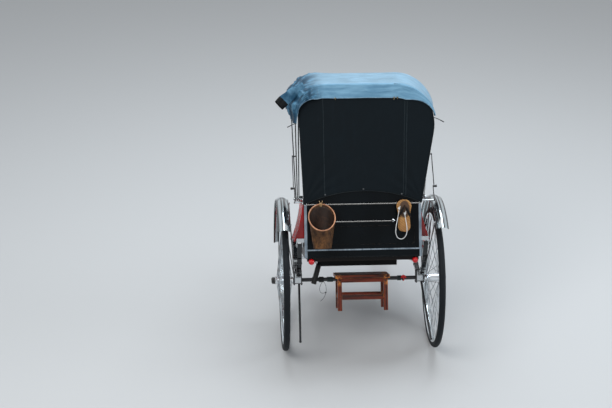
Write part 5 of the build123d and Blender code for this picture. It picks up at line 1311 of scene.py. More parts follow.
class RICKSHAW_OT_seat(bpy.types.Operator):
    """Seat cushion, channelled back cushion and arm rolls, blown up as cloth and piped"""

    bl_idname = "rickshaw.seat"
    bl_label = "Upholstery"

    half = 0.424
    widest = 0.4285

    def blown(self, name, low, high, rounding, cap, voxel, resting, material):
        """A block blown up as cloth from its low face along the resting axis, and its points in the level frame."""
        cushion = make_mesh(name, block(low, high, rounding, 4), material, None)
        inflated(cushion, 4.0, cap, voxel, rest_low=lambda p: level_points(p)[:, resting] < low[resting] + 0.006)
        return cushion, level_points(mesh_points(cushion))

    def settle(self, cushion, points, low, high):
        """Give a cushion its points back, kept within the y and z of its place."""
        points = np.clip(points, (-self.widest, *low), (self.widest, *high))
        cushion.data.vertices.foreach_set("co", parked(points).ravel())
        finer(cushion)

    def execute(self, context):
        half = self.half
        velvet_finish = finish("seat_velvet", velvet, colour("seat_colour"), tinted(colour("seat_colour"), 2.2))
        cord_finish = finish("piping", velvet, tinted(colour("seat_colour"), 0.55), colour("seat_colour"))
        low, edge, rear, front, reach = 0.9003, 0.973, -0.42, 0.124, half - 0.01
        cushion, points = self.blown("seat_cushion_cover", (-half + 0.006, -0.426, low), (half - 0.006, 0.12, 0.977),
                                     0.022, 0.02, 0.0078, 2, velvet_finish)
        x, y, z = points.T
        dip = groove(np.abs(x), 0.0075, 0.006)
        for line in (-0.29, -0.15, -0.01):
            dip = dip + groove(np.abs(y - line), 0.0075, 0.0038)
        sat = 0.006 * sum(np.exp(-((x - middle) / 0.14) ** 2 - ((y + 0.16) / 0.16) ** 2) for middle in (-0.21, 0.21))
        points[:, 2] -= (dip + sat + 0.0012 * waves(x, y, 3, 14, 0.12)) * smooth((z - 0.955) / 0.02)
        self.settle(cushion, points, (-0.4305, low), (0.142, 1.003))
        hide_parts("seat_cushion")
        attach(cushion, "carriage")
        corners = [(-reach, rear, edge), (reach, rear, edge), (reach, front, edge), (-reach, front, edge)]
        piping("seat_piping", corners, 0.03, 0.0042, cushion, cord_finish)

        rear, face, pitch, reach = -0.4316, -0.365, 0.094, half - 0.012
        back, points = self.blown("seat_back_cover", (-half + 0.006, rear, 1.003), (half - 0.006, -0.355, 1.291),
                                  0.024, 0.018, 0.0066, 1, velvet_finish)
        x, y, z = points.T
        nearest = np.abs((x + pitch / 2) % pitch - pitch / 2)
        bulge = 0.004 * (0.8 - (nearest / (pitch / 2)) ** 2)
        facing = smooth((y + 0.4) / 0.03)
        points[:, 1] -= (groove(nearest, 0.005, 0.009) + bulge * 0.5 - 0.001 * waves(x, z, 8, 12, 0.1)) * facing
        self.settle(back, points, (rear, 0.9965), (-0.334, 1.306))
        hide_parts("seat_back")
        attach(back, "carriage")
        corners = [(-reach, face, 1.012), (reach, face, 1.012), (reach, face, 1.282), (-reach, face, 1.282)]
        piping("back_piping", corners, 0.03, 0.004, back, cord_finish)

        slope = -0.062 / 0.49
        share, y, turn = np.linspace(0, 1, 60), np.linspace(-0.33, 0.056, 60), full_turn(40)
        radius = 0.0238 * np.sqrt(np.clip(1 - (2 * np.abs(share - 0.5)) ** 14, 0.02, 1))
        pinches = ((0.5, 0.02, 0.06), (0.04, 0.018, 0.1), (0.96, 0.018, 0.1))
        radius *= 1 - sum(groove(share - at, width, depth) for at, width, depth in pinches)
        rolls, rings = [], []
        for side in SIDES:
            path = np.stack([np.full(60, side * 0.4057), y, 1.24 + slope * (y + 0.43) - 0.012], -1)
            rolls.append(tube(path, radius, 36))
            for k in (3, 56):
                ring = path[k] + 0.0228 * np.stack([np.cos(turn), 0 * turn, np.sin(turn)], -1)
                rings.append(tube(ring, 0.0028, 8, closed=True, across=(0, 1, 0)))
        pads = make_mesh("arm_rolls", rolls, velvet_finish, None)
        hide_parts("arm_pads")
        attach(pads, "carriage")
        make_mesh("arm_roll_piping", rings, cord_finish, "carriage")
        return {"FINISHED"}
        return {"FINISHED"}


# Basket

BASKET = {"x": -0.325, "top": 0.116, "low": 0.068, "top_z": 1.184, "lip_z": 0.962, "low_z": 0.852, "y": -0.61979}


def basket_radius(z):
    share = (z - BASKET["low_z"]) / (BASKET["top_z"] - BASKET["low_z"])
    return BASKET["low"] + (BASKET["top"] - BASKET["low"]) * share


def round_basket(radius, angle, z):
    """Points at a radius from the basket's axis and an angle from its front."""
    x, y = BASKET["x"] + radius * np.sin(angle), BASKET["y"] - radius * np.cos(angle)
    return np.stack(np.broadcast_arrays(x, y, z), -1)


def mouth_z(y):
    """Height of the mouth's plane, from the low front lip to the high back."""
    front, back = BASKET["y"] - BASKET["top"] - 0.002, BASKET["y"] + BASKET["top"] + 0.002
    return BASKET["lip_z"] + (BASKET["top_z"] - BASKET["lip_z"]) * (y - front) / (back - front)


def mouth_line(count, grow=0.0):
    """The line where the tapered wall meets the mouth's plane, found by a few steps of height and radius in turn."""
    angle = full_turn(count)
    z = np.full(count, BASKET["lip_z"])
    for _ in range(30):
        z = 0.5 * z + 0.5 * mouth_z(BASKET["y"] - (basket_radius(z) + grow) * np.cos(angle))
    return round_basket(basket_radius(z) + grow, angle, z)


class RICKSHAW_OT_basket(bpy.types.Operator):
    """Wall basket: stakes with strips woven round them, a bound hoop at the mouth and a wire tie to the rail"""

    bl_idname = "rickshaw.basket"
    bl_label = "Basket"

    row_height = 0.0078
    first_row = BASKET["low_z"] + 0.004
    wall_inset = 0.003

    def rows(self, stakes):
        """Level strips, each cut where it meets the mouth's plane."""
        strips = []
        mouth = BASKET["top"] + 0.002
        for row in range(int((BASKET["top_z"] - BASKET["low_z"]) / self.row_height)):
            z = self.first_row + row * self.row_height
            cut = (z - BASKET["lip_z"]) / (BASKET["top_z"] - BASKET["lip_z"]) * 2 * mouth - mouth
            radius = basket_radius(z) - self.wall_inset
            limit = -cut / radius
            if limit <= -0.985:
                continue
            full = limit >= 1
            reach = np.pi if full else math.acos(float(np.clip(-limit, -1, 1)))
            count = 110 if full else max(12, int(110 * reach / np.pi))
            turn = np.linspace(-reach, reach, count, endpoint=not full) + np.pi
            weave = 0.0016 * np.sin(turn * stakes / 2 + np.pi * row)
            uneven = 0.0006 * waves(turn, turn * 0, 100 + row, 6, 2.0)
            strips.append(flat_strip(round_basket(radius + weave + uneven, turn, z), 0.0083, 0.0015, full))
        return strips

    def stakes(self, count):
        """Upright stakes that pass before and behind the rows in turn."""
        bars = []
        for k in range(count):
            angle = 2 * np.pi * k / count
            z = np.linspace(BASKET["low_z"] + 0.001, BASKET["top_z"], 90)
            radius = basket_radius(z) - self.wall_inset
            keep = z <= mouth_z(BASKET["y"] - radius * math.cos(angle))
            z, radius = z[keep], radius[keep]
            r = radius - 0.0021 * np.cos(np.pi * (z - self.first_row) / self.row_height) * (1 if k % 2 else -1)
            out = (math.sin(angle), -math.cos(angle), 0)
            bars.append(tube(round_basket(r, angle, z), 0.0031, 6, flat=0.45, across=out))
        return bars

    def execute(self, context):
        count = looks().basket_stakes
        base_radius = BASKET["low"] - 0.004
        base = turned_to(lathe([(0, 0), (base_radius, 0), (base_radius, 0.005), (0, 0.005)], 48),
                         (BASKET["x"], BASKET["y"], BASKET["low_z"] + 0.0005), (0, 0, 1))
        body_finish = finish("basket_cane", cane, rgb(112, 76, 46), rgb(34, 23, 17), rgb(176, 126, 78), 0.85)
        parts = [*self.rows(count), *self.stakes(count), base]
        basket = make_mesh("basket_weave", parts, body_finish, None)
        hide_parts("basket")
        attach(basket, "carriage")

        hoop_finish = finish("basket_hoop", cane, rgb(212, 158, 124), rgb(150, 100, 74), rgb(238, 198, 166))
        line = mouth_line(160, -0.001)
        plane = unit(np.cross(line[40] - line[0], line[80] - line[0]))
        hoop = tube(line, 0.0042, 12, closed=True, across=plane)
        make_mesh("basket_hoop", hoop, hoop_finish, "carriage")
        turns = 88
        t = np.linspace(0, 1, turns * 14, endpoint=False)
        centre = np.stack([np.interp(t * 160, np.arange(161), np.append(line[:, k], line[0, k])) for k in range(3)], -1)
        side = unit(np.cross(directions(centre, True), plane))
        turn = (t * turns * 2 * np.pi)[:, None]
        wind = centre + 0.0046 * (np.cos(turn) * side + np.sin(turn) * plane)
        lashing = tube(wind, 0.0009, 5, closed=True, across=plane)
        make_mesh("basket_lashing", lashing, hoop_finish, "carriage")

        # Inside the wall, painted shade: a dark copy of the cane on straight lines from its foot circle to the mouth's
        # line
        inset, foot_z = 0.0102, BASKET["low_z"] + 0.007
        foot = round_basket(basket_radius(foot_z) - inset, full_turn(121), foot_z)
        wall = foot + (mouth_line(121, -inset) - foot) * np.linspace(0, 0.975, 30)[:, None, None]
        floor = np.broadcast_to(foot.mean(0), foot.shape)[None]
        inner_shade_finish = finish("lining_cane", cane, rgb(50, 33, 25), rgb(20, 14, 12), rgb(84, 56, 40), 0.7)
        inner_wall = make_mesh("basket_lining", grid(np.concatenate([floor, wall]), False, True, (0.4, 0.6)), inner_shade_finish,
                           "carriage", closed=False)
        thicken(inner_wall, 0.001)

        ties = []
        middle_y = (BASKET["y"] + basket_radius(BASKET["top_z"]) + RAIL_Y) / 2
        turn = full_turn(40)
        for k in range(4):
            x = BASKET["x"] - 0.009 + k * 0.0052 + 0.002 * np.sin(turn * 2 + k)
            loop = np.stack([x, middle_y + 0.0125 * np.cos(turn), UPPER_RAIL_Z - 0.004 + 0.0135 * np.sin(turn)], -1)
            ties.append(tube(loop, 0.0017, 8, closed=True, across=(1, 0, 0)))
        s = np.linspace(0, 1, 16)
        for way in SIDES:
            tail = np.stack([BASKET["x"] + way * (0.002 + 0.011 * s), -0.514 - 0.005 * np.sin(3 * s),
                             UPPER_RAIL_Z + 0.006 + 0.024 * s], -1)
            ties.append(tube(tail, 0.0017, 8))
        knot = trefoil(72, 0.0026) + np.array([BASKET["x"], -0.516, UPPER_RAIL_Z + 0.007])
        ties.append(tube(knot, 0.0021, 8, closed=True))
        twine = finish("tie_twine", twisted, rgb(196, 160, 112), rgb(104, 76, 48), 150.0)
        make_mesh("basket_tie", ties, twine, "carriage")
        return {"FINISHED"}


def flat_strip(path, height, thickness, closed):
    """A flat strip standing on edge round Z: an oblong of the given height and thickness carried along a level path."""
    out = unit(np.cross(directions(path, closed), [0, 0, 1.0]))
    corners = np.array([(-0.5, -0.38), (-0.5, 0.38), (-0.28, 0.5), (0.28, 0.5), (0.5, 0.38), (0.5, -0.38), (0.28, -0.5),
                        (-0.28, -0.5)])
    points = (path[:, None] + out[:, None] * (corners[:, 0] * thickness)[None, :, None] +
              np.array([0, 0, 1.0]) * (corners[:, 1] * height)[None, :, None])
    return grid(points, closed, True, (path_length(path), 2 * height))


# Sandals

class RICKSHAW_OT_sandals(bpy.types.Operator):
    """Pair of straw sandals: plaited uppers on dark soles, with padded straps"""

    bl_idname = "rickshaw.sandals"
    bl_label = "Sandals"

    def half_width(self, h):
        """Half the sole's width at a height: a round toe, a slim waist and a narrower round heel."""
        toe, heel, end, waist = 0.052, 0.0416, 0.1225, 0.0374
        top, low = end - toe, -end + heel
        middle = np.interp(h, [low, -0.008, top], [heel, waist, toe])
        middle = middle + 0.004 * np.sin(np.pi * np.clip((h - low) / (top - low), 0, 1)) * (h > -0.008) * -0.3
        round_toe = np.sqrt(np.clip(toe ** 2 - (h - top) ** 2, 0, None))
        round_heel = np.sqrt(np.clip(heel ** 2 - (h - low) ** 2, 0, None))
        return np.where(h > top, round_toe, np.where(h < low, round_heel, middle))

    def layer(self, x, y_back, y_front, grow=0.0):
        """One layer of a sole: at each height an oblong with round corners, as wide as the outline there."""
        h = 0.1225 * np.sin(np.linspace(-np.pi / 2, np.pi / 2, 70))[:, None]
        angle = full_turn(48)
        rounding = 0.004
        half_y = (y_back - y_front) / 2
        width = np.maximum(self.half_width(h) + grow, 0)
        cx, cy = (np.sign(way) * np.abs(way) ** 0.35 for way in (np.cos(angle), np.sin(angle)))
        across = x + np.maximum(width - rounding, 0) * cx + np.minimum(width, rounding) * np.cos(angle)
        deep = (y_back + y_front) / 2 + (half_y - 0.002) * cy + 0.002 * np.sin(angle)
        return grid(np.stack(np.broadcast_arrays(across, deep, 1.0835 + h), -1), False, True, (0.25, 0.25))

    def execute(self, context):
        straw_finish = finish("sandal_straw", straw)
        dark = finish("sandal_sole", rubber, rgb(52, 36, 30), rgb(110, 84, 66), 700.0)
        inner, outer = -0.5048, -0.5271
        uppers, soles, straps, seams = [], [], [], []
        for x, y in ((0.303, inner), (0.312, outer)):
            soles.append(self.layer(x, y, y - 0.0075))
            uppers.append(self.layer(x, y - 0.0078, y - 0.022, -0.0006))
        x, face, top = 0.309, outer - 0.022, 1.158
        t = np.linspace(0, 1, 40)
        thickness = 0.0096 * (0.55 + 0.45 * np.sin(np.pi * np.clip(t, 0.05, 0.95)))
        for aside, low in ((-0.046, 1.075), (0.044, 1.07)):
            bow = face - 0.001 - 0.02 * np.sin(np.pi * t) ** 0.8
            path = np.stack([x + aside * t ** 0.8, bow, top + (low - top) * t], -1)
            straps.append(tube(path, thickness, 14, flat=0.62, across=(0, 1, 0)))
            seams.append(tube(path + np.array([0, -0.0042, 0]), 0.0009, 6))
        post = [(x, face + 0.004, top), (x, face - 0.004, top + 0.002), (x, face - 0.007, top + 0.004)]
        straps.append(tube(post, 0.0038, 10))
        pair = make_mesh("sandal_uppers", uppers, straw_finish, None)
        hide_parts("sandals")
        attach(pair, "carriage")
        make_mesh("sandal_soles", soles, dark, "carriage")
        strap_cloth = finish("strap_cloth", canvas, rgb(16, 15, 16), rgb(40, 38, 36))
        make_mesh("sandal_straps", straps, strap_cloth, "carriage")
        strap_edge = finish("strap_edge", canvas, rgb(96, 66, 44), rgb(140, 100, 64))
        make_mesh("sandal_strap_piping", seams, strap_edge, "carriage")
        return {"FINISHED"}


# Stool

STOOL_X = 0.02
CORNERS = [(sx, sy) for sx in SIDES for sy in SIDES]


class RICKSHAW_OT_stool(bpy.types.Operator):
    """Step stool across the axle: three boards, four legs with tenoned rails, edges bright with wear and a painted
    highlight
    """

    bl_idname = "rickshaw.stool"
    bl_label = "Step stool"

    half_x, half_y = 0.215, 0.14
    low, high, foot = 0.5753, 0.6013, 0.3173
    leg, inset, rail = 0.034, 0.016, 0.02
    rail_low, rail_high = 0.404, 0.444

    def boards(self, lx, ly):
        """The axis along the grain, the low corner and the high corner of every board. The legs' inner faces are at
        lx and ly from the middle."""
        gap, x0 = 0.0012, STOOL_X
        width = (2 * self.half_y - 2 * gap) / 3
        boards = []
        for k in range(3):
            y = -self.half_y + k * (width + gap)
            boards.append((0, (x0 - self.half_x, y, self.low), (x0 + self.half_x, y + width, self.high)))
        for sx, sy in CORNERS:
            a, b = sorted((x0 + sx * lx, x0 + sx * (lx + self.leg))), sorted((sy * ly, sy * (ly + self.leg)))
            boards.append((2, (a[0], b[0], self.foot), (a[1], b[1], self.low)))
            boards.append((2, (a[0] + 0.008, b[0] + 0.008, self.low - 0.001),
                           (a[1] - 0.008, b[1] - 0.008, self.high + 0.0006)))
        for sy in SIDES:
            mid = sy * (ly + self.leg / 2)
            boards.append((0, (x0 - lx - 0.004, mid - self.rail / 2, self.rail_low),
                           (x0 + lx + 0.004, mid + self.rail / 2, self.rail_high)))
            boards.append((0, (x0 - lx, mid - 0.008, self.low - 0.034), (x0 + lx, mid + 0.008, self.low)))
        for sx in SIDES:
            mid = x0 + sx * (lx + self.leg / 2)
            boards.append((1, (mid - self.rail / 2, -ly - 0.004, self.rail_low),
                           (mid + self.rail / 2, ly + 0.004, self.rail_high)))
        return boards

    def execute(self, context):
        lx, ly = self.half_x - self.inset - self.leg, self.half_y - self.inset - self.leg
        parts, grains = [], []
        for number, (axis, low, high) in enumerate(self.boards(lx, ly)):
            part = block(low, high, 0.0032, 3)
            parts.append(part)
            order = [axis, (axis + 1) % 3, (axis + 2) % 3]
            grains.append(part[0][:, order] + number * np.array([0.37, 0.113, 0.071]))
        # The last colour is the bright wood at the edges and upper corners: wear and a painted highlight
        timber = finish("stool_wood", wood, rgb(44, 16, 11), rgb(122, 46, 24), rgb(226, 142, 66))
        stool = make_mesh("stool_boards", parts, timber, None, grain=np.concatenate(grains))
        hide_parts("stool")
        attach(stool, "carriage")
        pegs = []
        for sx, sy in CORNERS:
            for z in (0.424, 0.556):
                place = (STOOL_X + sx * (lx + self.leg / 2), sy * (ly + self.leg + 0.0002), z)
                pegs.append(turned_to(dome(0.0042, 0.0016, 4, 14), place, (0, sy, 0)))
        make_mesh("stool_pegs", pegs, finish("peg_wood", chrome, (0.1, 0.09, 0.08), (0.05, 0.03, 0.02)), "carriage")
        return {"FINISHED"}


# Small fittings

SPRING_X = 0.487
EYE_Y, EYE_Z = 0.3926, 0.8621
GUARD_X, GUARD_HALF, GUARD_RADIUS = 0.606, 0.046, 0.642


def round_axle(radius, angle, x=0.0):
    """A point at a radius and an angle above +Y about the axle."""
    angle = np.radians(angle)
    return np.stack(np.broadcast_arrays(x, radius * np.cos(angle), AXLE_Z + radius * np.sin(angle)), -1)


class RICKSHAW_OT_running_gear(bpy.types.Operator):
    """U-bolts and nuts on the springs, spring eye bolts, leaf clips, mudguard beads and stay nuts"""

    bl_idname = "rickshaw.running_gear"
    bl_label = "Running gear fittings"

    def execute(self, context):
        bolts, stay_bolts, beads = [], [], []
        low, high, plate_z = 0.5275, 0.6245, 0.5312
        for side in SIDES:
            inner, outer = (side * (SPRING_X + 0.0285 * way) for way in SIDES)
            left, right = sorted((inner, outer))
            for y in (-0.024, 0.024):
                corners = [(inner, y, low), (inner, y, high), (outer, y, high), (outer, y, low)]
                bolts.append(tube(rounded_path(corners, [0.012, 0.012], 70), 0.004, 10))
                bolts.append(block((left - 0.008, y - 0.0085, plate_z), (right + 0.008, y + 0.0085, 0.5368), 0.0012))
                bolts.extend(turned_to(nut(0.013, 0.0085, 0.2), (x, y, plate_z), (0, 0, -1)) for x in (inner, outer))
            for y in (-EYE_Y, EYE_Y):
                for out in SIDES:
                    place = (side * (SPRING_X + out * 0.024), y, EYE_Z)
                    bolts.append(turned_to(nut(0.019, 0.0095, 0.25), place, (side * out, 0, 0)))
            for angle, reach in ((-119, 0.4633), (-61, 0.4633), (-133, 0.4563), (-47, 0.4563)):
                bolts.append(self.leaf_clip(side * SPRING_X, math.radians(angle), reach))
            arc = np.linspace(140.0, 24.0, 150)
            for edge in SIDES:
                beads.append(tube(round_axle(GUARD_RADIUS, arc, side * (GUARD_X + edge * GUARD_HALF)), 0.0036, 10))
            for angle in (134, 106, 38):
                place = round_axle(GUARD_RADIUS + 0.002, angle, side * (GUARD_X - GUARD_HALF - 0.0045))
                stay_bolts.append(turned_to(nut(0.011, 0.006, 0.3), place, (-side, 0, 0)))
        make_mesh("spring_bolts", bolts, finish("bolt_steel", iron, (0.03, 0.032, 0.036), amount=0.5), "carriage")
        make_mesh("stay_bolts", stay_bolts, bright_chrome(), "carriage")
        make_mesh("mudguard_beads", beads, finish("bead_enamel", lacquer, (0.012, 0.014, 0.017), (0.006, 0.007, 0.008)),
                  "carriage")
        profile = [(0.02, 0.001), (0.0278, 0.0), (0.0302, 0.0005), (0.0302, 0.007), (0.0278, 0.0075), (0.02, 0.0065)]
        for side, name in zip(SIDES, ("left", "right")):
            ring = turned_to(lathe(profile, 40), (side * 0.6612, 0.0, AXLE_Z), (side, 0, 0))
            make_mesh(f"hub_ring_{name}", ring, finish("ring_chrome", chrome, (0.7, 0.71, 0.72)), f"{name}_wheel")
        return {"FINISHED"}

    def leaf_clip(self, x, angle, reach):
        """A wire clip round a spring's leaves, square to their arc at an angle."""
        corners = np.array([(x + aside, r * math.cos(angle), 1.0452 + r * math.sin(angle)) for aside, r in (
            (-0.0198, 0.4402), (0.0198, 0.4402), (0.0198, reach), (-0.0198, reach))])
        return tube(rounded_path([*corners, corners[0], corners[1]], [0.003] * 4, 121)[8:-2], 0.0021, 8)


class RICKSHAW_OT_body_fittings(bpy.types.Operator):
    """Rail flanges, bracket screws, pin heads, panel mouldings, footboard strips and dash bead"""

    bl_idname = "rickshaw.body_fittings"
    bl_label = "Body fittings"

    strut_foot = (-0.32, 1.19)

    def execute(self, context):
        plated = []
        flange = [(0, 0), (0.0105, 0), (0.0105, 0.0016), (0.0078, 0.0036), (0.0052, 0.0062), (0.0046, 0.0062)]
        for half, z in ((0.438, UPPER_RAIL_Z), (0.232, LOWER_RAIL_Z)):
            for side in SIDES:
                plated.append(turned_to(lathe(flange, 32), (side * half, BODY_REAR - 0.0002, z), (0, -1, 0)))
        for side in SIDES:
            for y, z in ((-0.328, 1.183), (-0.222, 1.183), (-0.328, 1.209), (-0.275, 1.212)):
                plated.append(turned_to(dome(0.0048, 0.0026), (side * 0.4542, y, z), (side, 0, 0)))
            plated.append(turned_to(dome(0.0125, 0.0075, 7, 28), (side * 0.5142, PIVOT_Y, PIVOT_Z), (side, 0, 0)))
        make_mesh("rail_flanges", plated, bright_chrome(), "carriage")

        knob = [(0.0, -0.0005), (0.0094, -0.0005), (0.0102, -0.003), (0.0102, 0.0012), (0.0082, 0.0042),
                (0.0042, 0.0058), (0, 0.0061)]
        for side, name, x in ((-1, "left", -0.514), (1, "right", 0.5684)):
            pin = turned_to(dome(0.0078, 0.0035), (x + side * 0.0052, *self.strut_foot), (side, 0, 0))
            make_mesh(f"strut_pin_{name}", pin, black_enamel(), "carriage")
            ball = turned_to(lathe(knob, 28), np.array([x + side * 0.025, *self.knuckle()]), (side, 0, 0))
            make_mesh(f"strut_knob_{name}", ball, black_enamel(), f"{name}_lower_strut")

        x = np.linspace(-0.43, 0.43, 120)
        sill = np.stack([x, np.full(120, BODY_REAR - 0.0082), np.full(120, 0.7715)], -1)
        make_mesh("sill_moulding", tube(sill, 0.0042, 10), black_lacquer(), "carriage")
        moulding = []
        for side in SIDES:
            front = np.array([(side * 0.522, y, 0.8895) for y in np.linspace(-0.339, 0.149, 60)])
            moulding += [tube(front, 0.0054, 10), self.skirt_end(side, -0.3405), self.skirt_end(side, 0.1505)]
        red = finish("moulding_red", lacquer, tinted(colour("red"), 0.8), tinted(colour("red"), 0.3))
        make_mesh("body_mouldings", moulding, red, "carriage")

        face, half, low, high = BODY_REAR - 0.001, 0.395, 0.865, 1.005
        corners = [(-half, face, low), (-half, face, high), (half, face, high), (half, face, low)]
        ring = rounded_ring(corners, 0.02, 500, 20, 380)
        make_mesh("panel_moulding", tube(ring, 0.0032, 8, closed=True, across=(0, 1, 0)), black_lacquer(), "carriage")

        rows = 0.18 + 0.052 * np.arange(11)
        strips = [block((-0.29, y - 0.011, 0.6688), (0.29, y + 0.011, 0.6722), 0.0014) for y in rows]
        make_mesh("footboard_strips", strips, finish("mat_rubber", rubber, scale=260.0), "carriage")
        corners = [(-0.318, 0.86, 0.90), (-0.318, 0.8625, 0.9022), (0.318, 0.8625, 0.9022), (0.318, 0.86, 0.90)]
        dash = rounded_path(corners, [0.002, 0.002], 160)
        make_mesh("dash_bead", tube(dash, 0.0066, 12), bright_chrome(), "carriage")
        return {"FINISHED"}

    def skirt_end(self, side, y):
        """Plate that shuts the end of the flared skirt: between the body's side and the circle through the skirt's top,
        hollow middle and foot, closed by its own thickness."""
        (ax, az), (bx, bz), (cx, cz) = top, _, foot = (0.452, 1.164), (0.4772, 1.029), (0.52, 0.893)
        d = 2 * (ax * (bz - cz) + bx * (cz - az) + cx * (az - bz))
        a2, b2, c2 = ax * ax + az * az, bx * bx + bz * bz, cx * cx + cz * cz
        ox = (a2 * (bz - cz) + b2 * (cz - az) + c2 * (az - bz)) / d
        oz = (a2 * (cx - bx) + b2 * (ax - cx) + c2 * (bx - ax)) / d
        radius = math.hypot(ax - ox, az - oz)
        z = np.linspace(foot[1], top[1], 40)
        curve = ox - np.sqrt(np.maximum(radius ** 2 - (z - oz) ** 2, 0))
        inner = np.full(len(z), 0.4485)
        ring = [(inner, y - 0.0015), (curve, y - 0.0015), (curve, y + 0.0015), (inner, y + 0.0015)]
        points = np.stack([np.stack([side * x, np.full(len(z), depth), z], -1) for x, depth in ring], 1)
        ends = [row.mean(1, keepdims=True).repeat(4, 1) for row in (points[:1], points[-1:])]
        return grid(np.concatenate([ends[0], points, ends[1]]), False, True, (0.3, 0.1))

    def knuckle(self):
        """y and z of the struts' knuckle: three tenths of the way from a strut's foot to its pin on the middle bow."""
        angle = math.radians(BOW_ANGLE[1])
        pin = np.array([PIVOT_Y + 0.34 * math.cos(angle), PIVOT_Z + 0.34 * math.sin(angle)])
        foot = np.array(self.strut_foot)
        return foot + (pin - foot) * 0.3


class RICKSHAW_OT_axle_fittings(bpy.types.Operator):
    """Wound straps, red knot, grip ridges and the thin cord under the axle"""

    bl_idname = "rickshaw.axle_fittings"
    bl_label = "Axle fittings"

    def execute(self, context):
        turns, reach = 6, 0.0202
        t = np.linspace(0, turns * 2 * np.pi, turns * 26)
        path = np.stack([-0.318 + t / t[-1] * 0.036, reach * np.cos(t), AXLE_Z + reach * np.sin(t)], -1)
        make_mesh("axle_wraps", tube(path, 0.0026, 8, across=(1, 0, 0)),
                  finish("axle_wrap", rubber, (0.012, 0.013, 0.014), (0.05, 0.05, 0.052)), "carriage")

        x = 0.356
        knot = trefoil(90, 0.0052, -1.0)[:, [0, 2, 1]] + np.array([x, -0.0225, AXLE_Z + 0.012])
        t = full_turn(90)
        ring = np.stack([x + 0.004 * np.sin(2 * t), 0.0222 * np.cos(t), AXLE_Z + 0.0222 * np.sin(t)], -1)
        drop, bend = np.linspace(0, 1, 16), np.sin(np.linspace(0, 3, 16))
        z = AXLE_Z + 0.013 * (1 - drop) + 0.006 * bend
        tails = [np.stack([x + way * 0.019 * drop, -0.026 - 0.004 * bend, z], -1) for way in SIDES]
        parts = [tube(knot, 0.0046, 10, closed=True), tube(ring, 0.0034, 8, closed=True, across=(1, 0, 0)),
                 *(tube(tail, 0.0034, 8, flat=0.6) for tail in tails)]
        knot_cloth = finish("knot_cloth", velvet, rgb(218, 18, 24), rgb(240, 70, 64))
        make_mesh("strap_knot", parts, knot_cloth, "carriage")

        lean = math.radians(16)
        axis = np.array([math.sin(lean), 0.0, math.cos(lean)])
        start = np.array([-0.343 - 0.075 * math.sin(lean), -0.039, 0.53])
        profile = [(0.0185, -0.0026), (0.0212, -0.0018), (0.0219, 0), (0.0212, 0.0018), (0.0185, 0.0026)]
        centres = [start + axis * (0.008 + k * 0.0082) for k in range(17)]
        rings = [turned_to(lathe(profile, 36), centre, axis) for centre in centres if abs(centre[2] - AXLE_Z) >= 0.022]
        make_mesh("grip_ridges", rings, grip_rubber(), "carriage")

        route = np.array(AXLE_CORD_POINTS)
        place = route[-1] + np.array([0.005, 0.001, 0.002])
        knot = make_mesh("axle_loop_knot", tube(trefoil(60, 0.0019, 0.9) + place, 0.0018, 8, closed=True), dark_twine(),
                         "carriage")
        hang_cord("axle_loop", route, 0.0032, dark_twine(), "axle_cord")
        return {"FINISHED"}


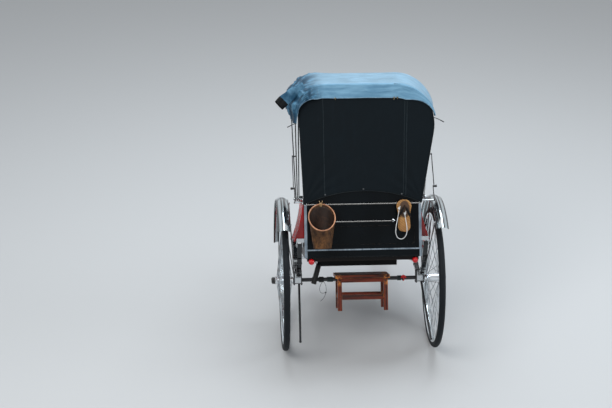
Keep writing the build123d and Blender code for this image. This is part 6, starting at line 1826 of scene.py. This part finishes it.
class RICKSHAW_OT_finishes(bpy.types.Operator):
    """Finishes of the wheels, springs, frame, body, hood irons and rails"""

    bl_idname = "rickshaw.finishes"
    bl_label = "Finishes"

    def execute(self, context):
        chosen = {
            "axle": finish("axle_iron", iron, (0.014, 0.015, 0.017), amount=0.6),
            "spring_irons": bright_chrome(),
            "crossbar": finish("crossbar_chrome", chrome, (0.5, 0.53, 0.56)),
            "frame_beams": finish("underframe_wood", lacquer, rgb(24, 20, 20), rgb(12, 10, 10), wear=0.2, coat=0.1,
                                  level=0.15),
            "body_back": black_lacquer(), "seat_box": black_lacquer(), "footwell": black_lacquer(),
            "rear_trim": finish("blued_trim", blued_trim),
            "hood_brackets": bright_chrome(),
            "back_rails": finish("rail_chrome", chrome, (0.3, 0.285, 0.27), (0.12, 0.1, 0.08)),
            "axle_grip": grip_rubber(),
            "axle_straps": finish("strap_rubber", rubber, (0.01, 0.022, 0.024), (0.05, 0.07, 0.07)),
            "anti_tip_bars": finish("bar_paint", lacquer, (0.012, 0.016, 0.022), (0.006, 0.007, 0.009), wear=0.5),
            "mudguard_stays": finish("stay_paint", lacquer, (0.02, 0.022, 0.026), (0.01, 0.011, 0.012)),
            "bow_rear": black_enamel(), "bow_mid": black_enamel(), "bow_front": black_enamel(),
        }
        paired = {
            "tyre": finish("tyre_rubber", rubber, (0.005, 0.0075, 0.0105), (0.018, 0.021, 0.024), level=0.18),
            "rim": finish("rim_chrome", chrome, (0.84, 0.9, 0.93)),
            "spokes": finish("spoke_steel", steel, (0.34, 0.38, 0.42)),
            "hub": finish("hub_chrome", hub_chrome),
            "spring": finish("spring_paint", lacquer, (0.007, 0.010, 0.014), (0.003, 0.004, 0.006), wear=0.18, coat=0.9,
                             level=0.1),
            "shaft": red_lacquer(),
            "body_side": finish("side_lacquer", side_lacquer, colour("red"), colour("black")),
            "mudguard": finish("guard_enamel", guard_enamel),
            "strut_lower": black_enamel(), "strut_upper": black_enamel(),
        }
        for name, material in paired.items():
            chosen[f"{name}_left"] = chosen[f"{name}_right"] = material
        for name, material in chosen.items():
            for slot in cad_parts[name].material_slots:
                slot.material = material
        return {"FINISHED"}


# Panel and start

STEPS = (
    RICKSHAW_OT_finishes, RICKSHAW_OT_hood_back, RICKSHAW_OT_hood_top, RICKSHAW_OT_cover, RICKSHAW_OT_seat,
    RICKSHAW_OT_basket, RICKSHAW_OT_cord, RICKSHAW_OT_sandals, RICKSHAW_OT_stool, RICKSHAW_OT_running_gear,
    RICKSHAW_OT_body_fittings, RICKSHAW_OT_axle_fittings, RICKSHAW_OT_stage,
)


class RICKSHAW_PT_panel(bpy.types.Panel):
    """Colours, sizes and steps of the rickshaw"""

    bl_idname = "RICKSHAW_PT_panel"
    bl_label = "Rickshaw"
    bl_space_type = "VIEW_3D"
    bl_region_type = "UI"
    bl_category = "Rickshaw"

    def draw(self, context):
        settings = context.scene.rickshaw_looks
        for name in RickshawLooks.__annotations__:
            self.layout.prop(settings, name)
        for step in STEPS:
            self.layout.operator(step.bl_idname)


CLASSES = (RickshawLooks, *STEPS, RICKSHAW_PT_panel)


def register():
    for cls in CLASSES:
        bpy.utils.register_class(cls)
    bpy.types.Scene.rickshaw_looks = PointerProperty(type=RickshawLooks)


def unregister():
    del bpy.types.Scene.rickshaw_looks
    for cls in reversed(CLASSES):
        bpy.utils.unregister_class(cls)


def main():
    register()
    for step in STEPS:
        group, name = step.bl_idname.split(".")
        getattr(getattr(bpy.ops, group), name)()


if __name__ == "__main__":
    main()
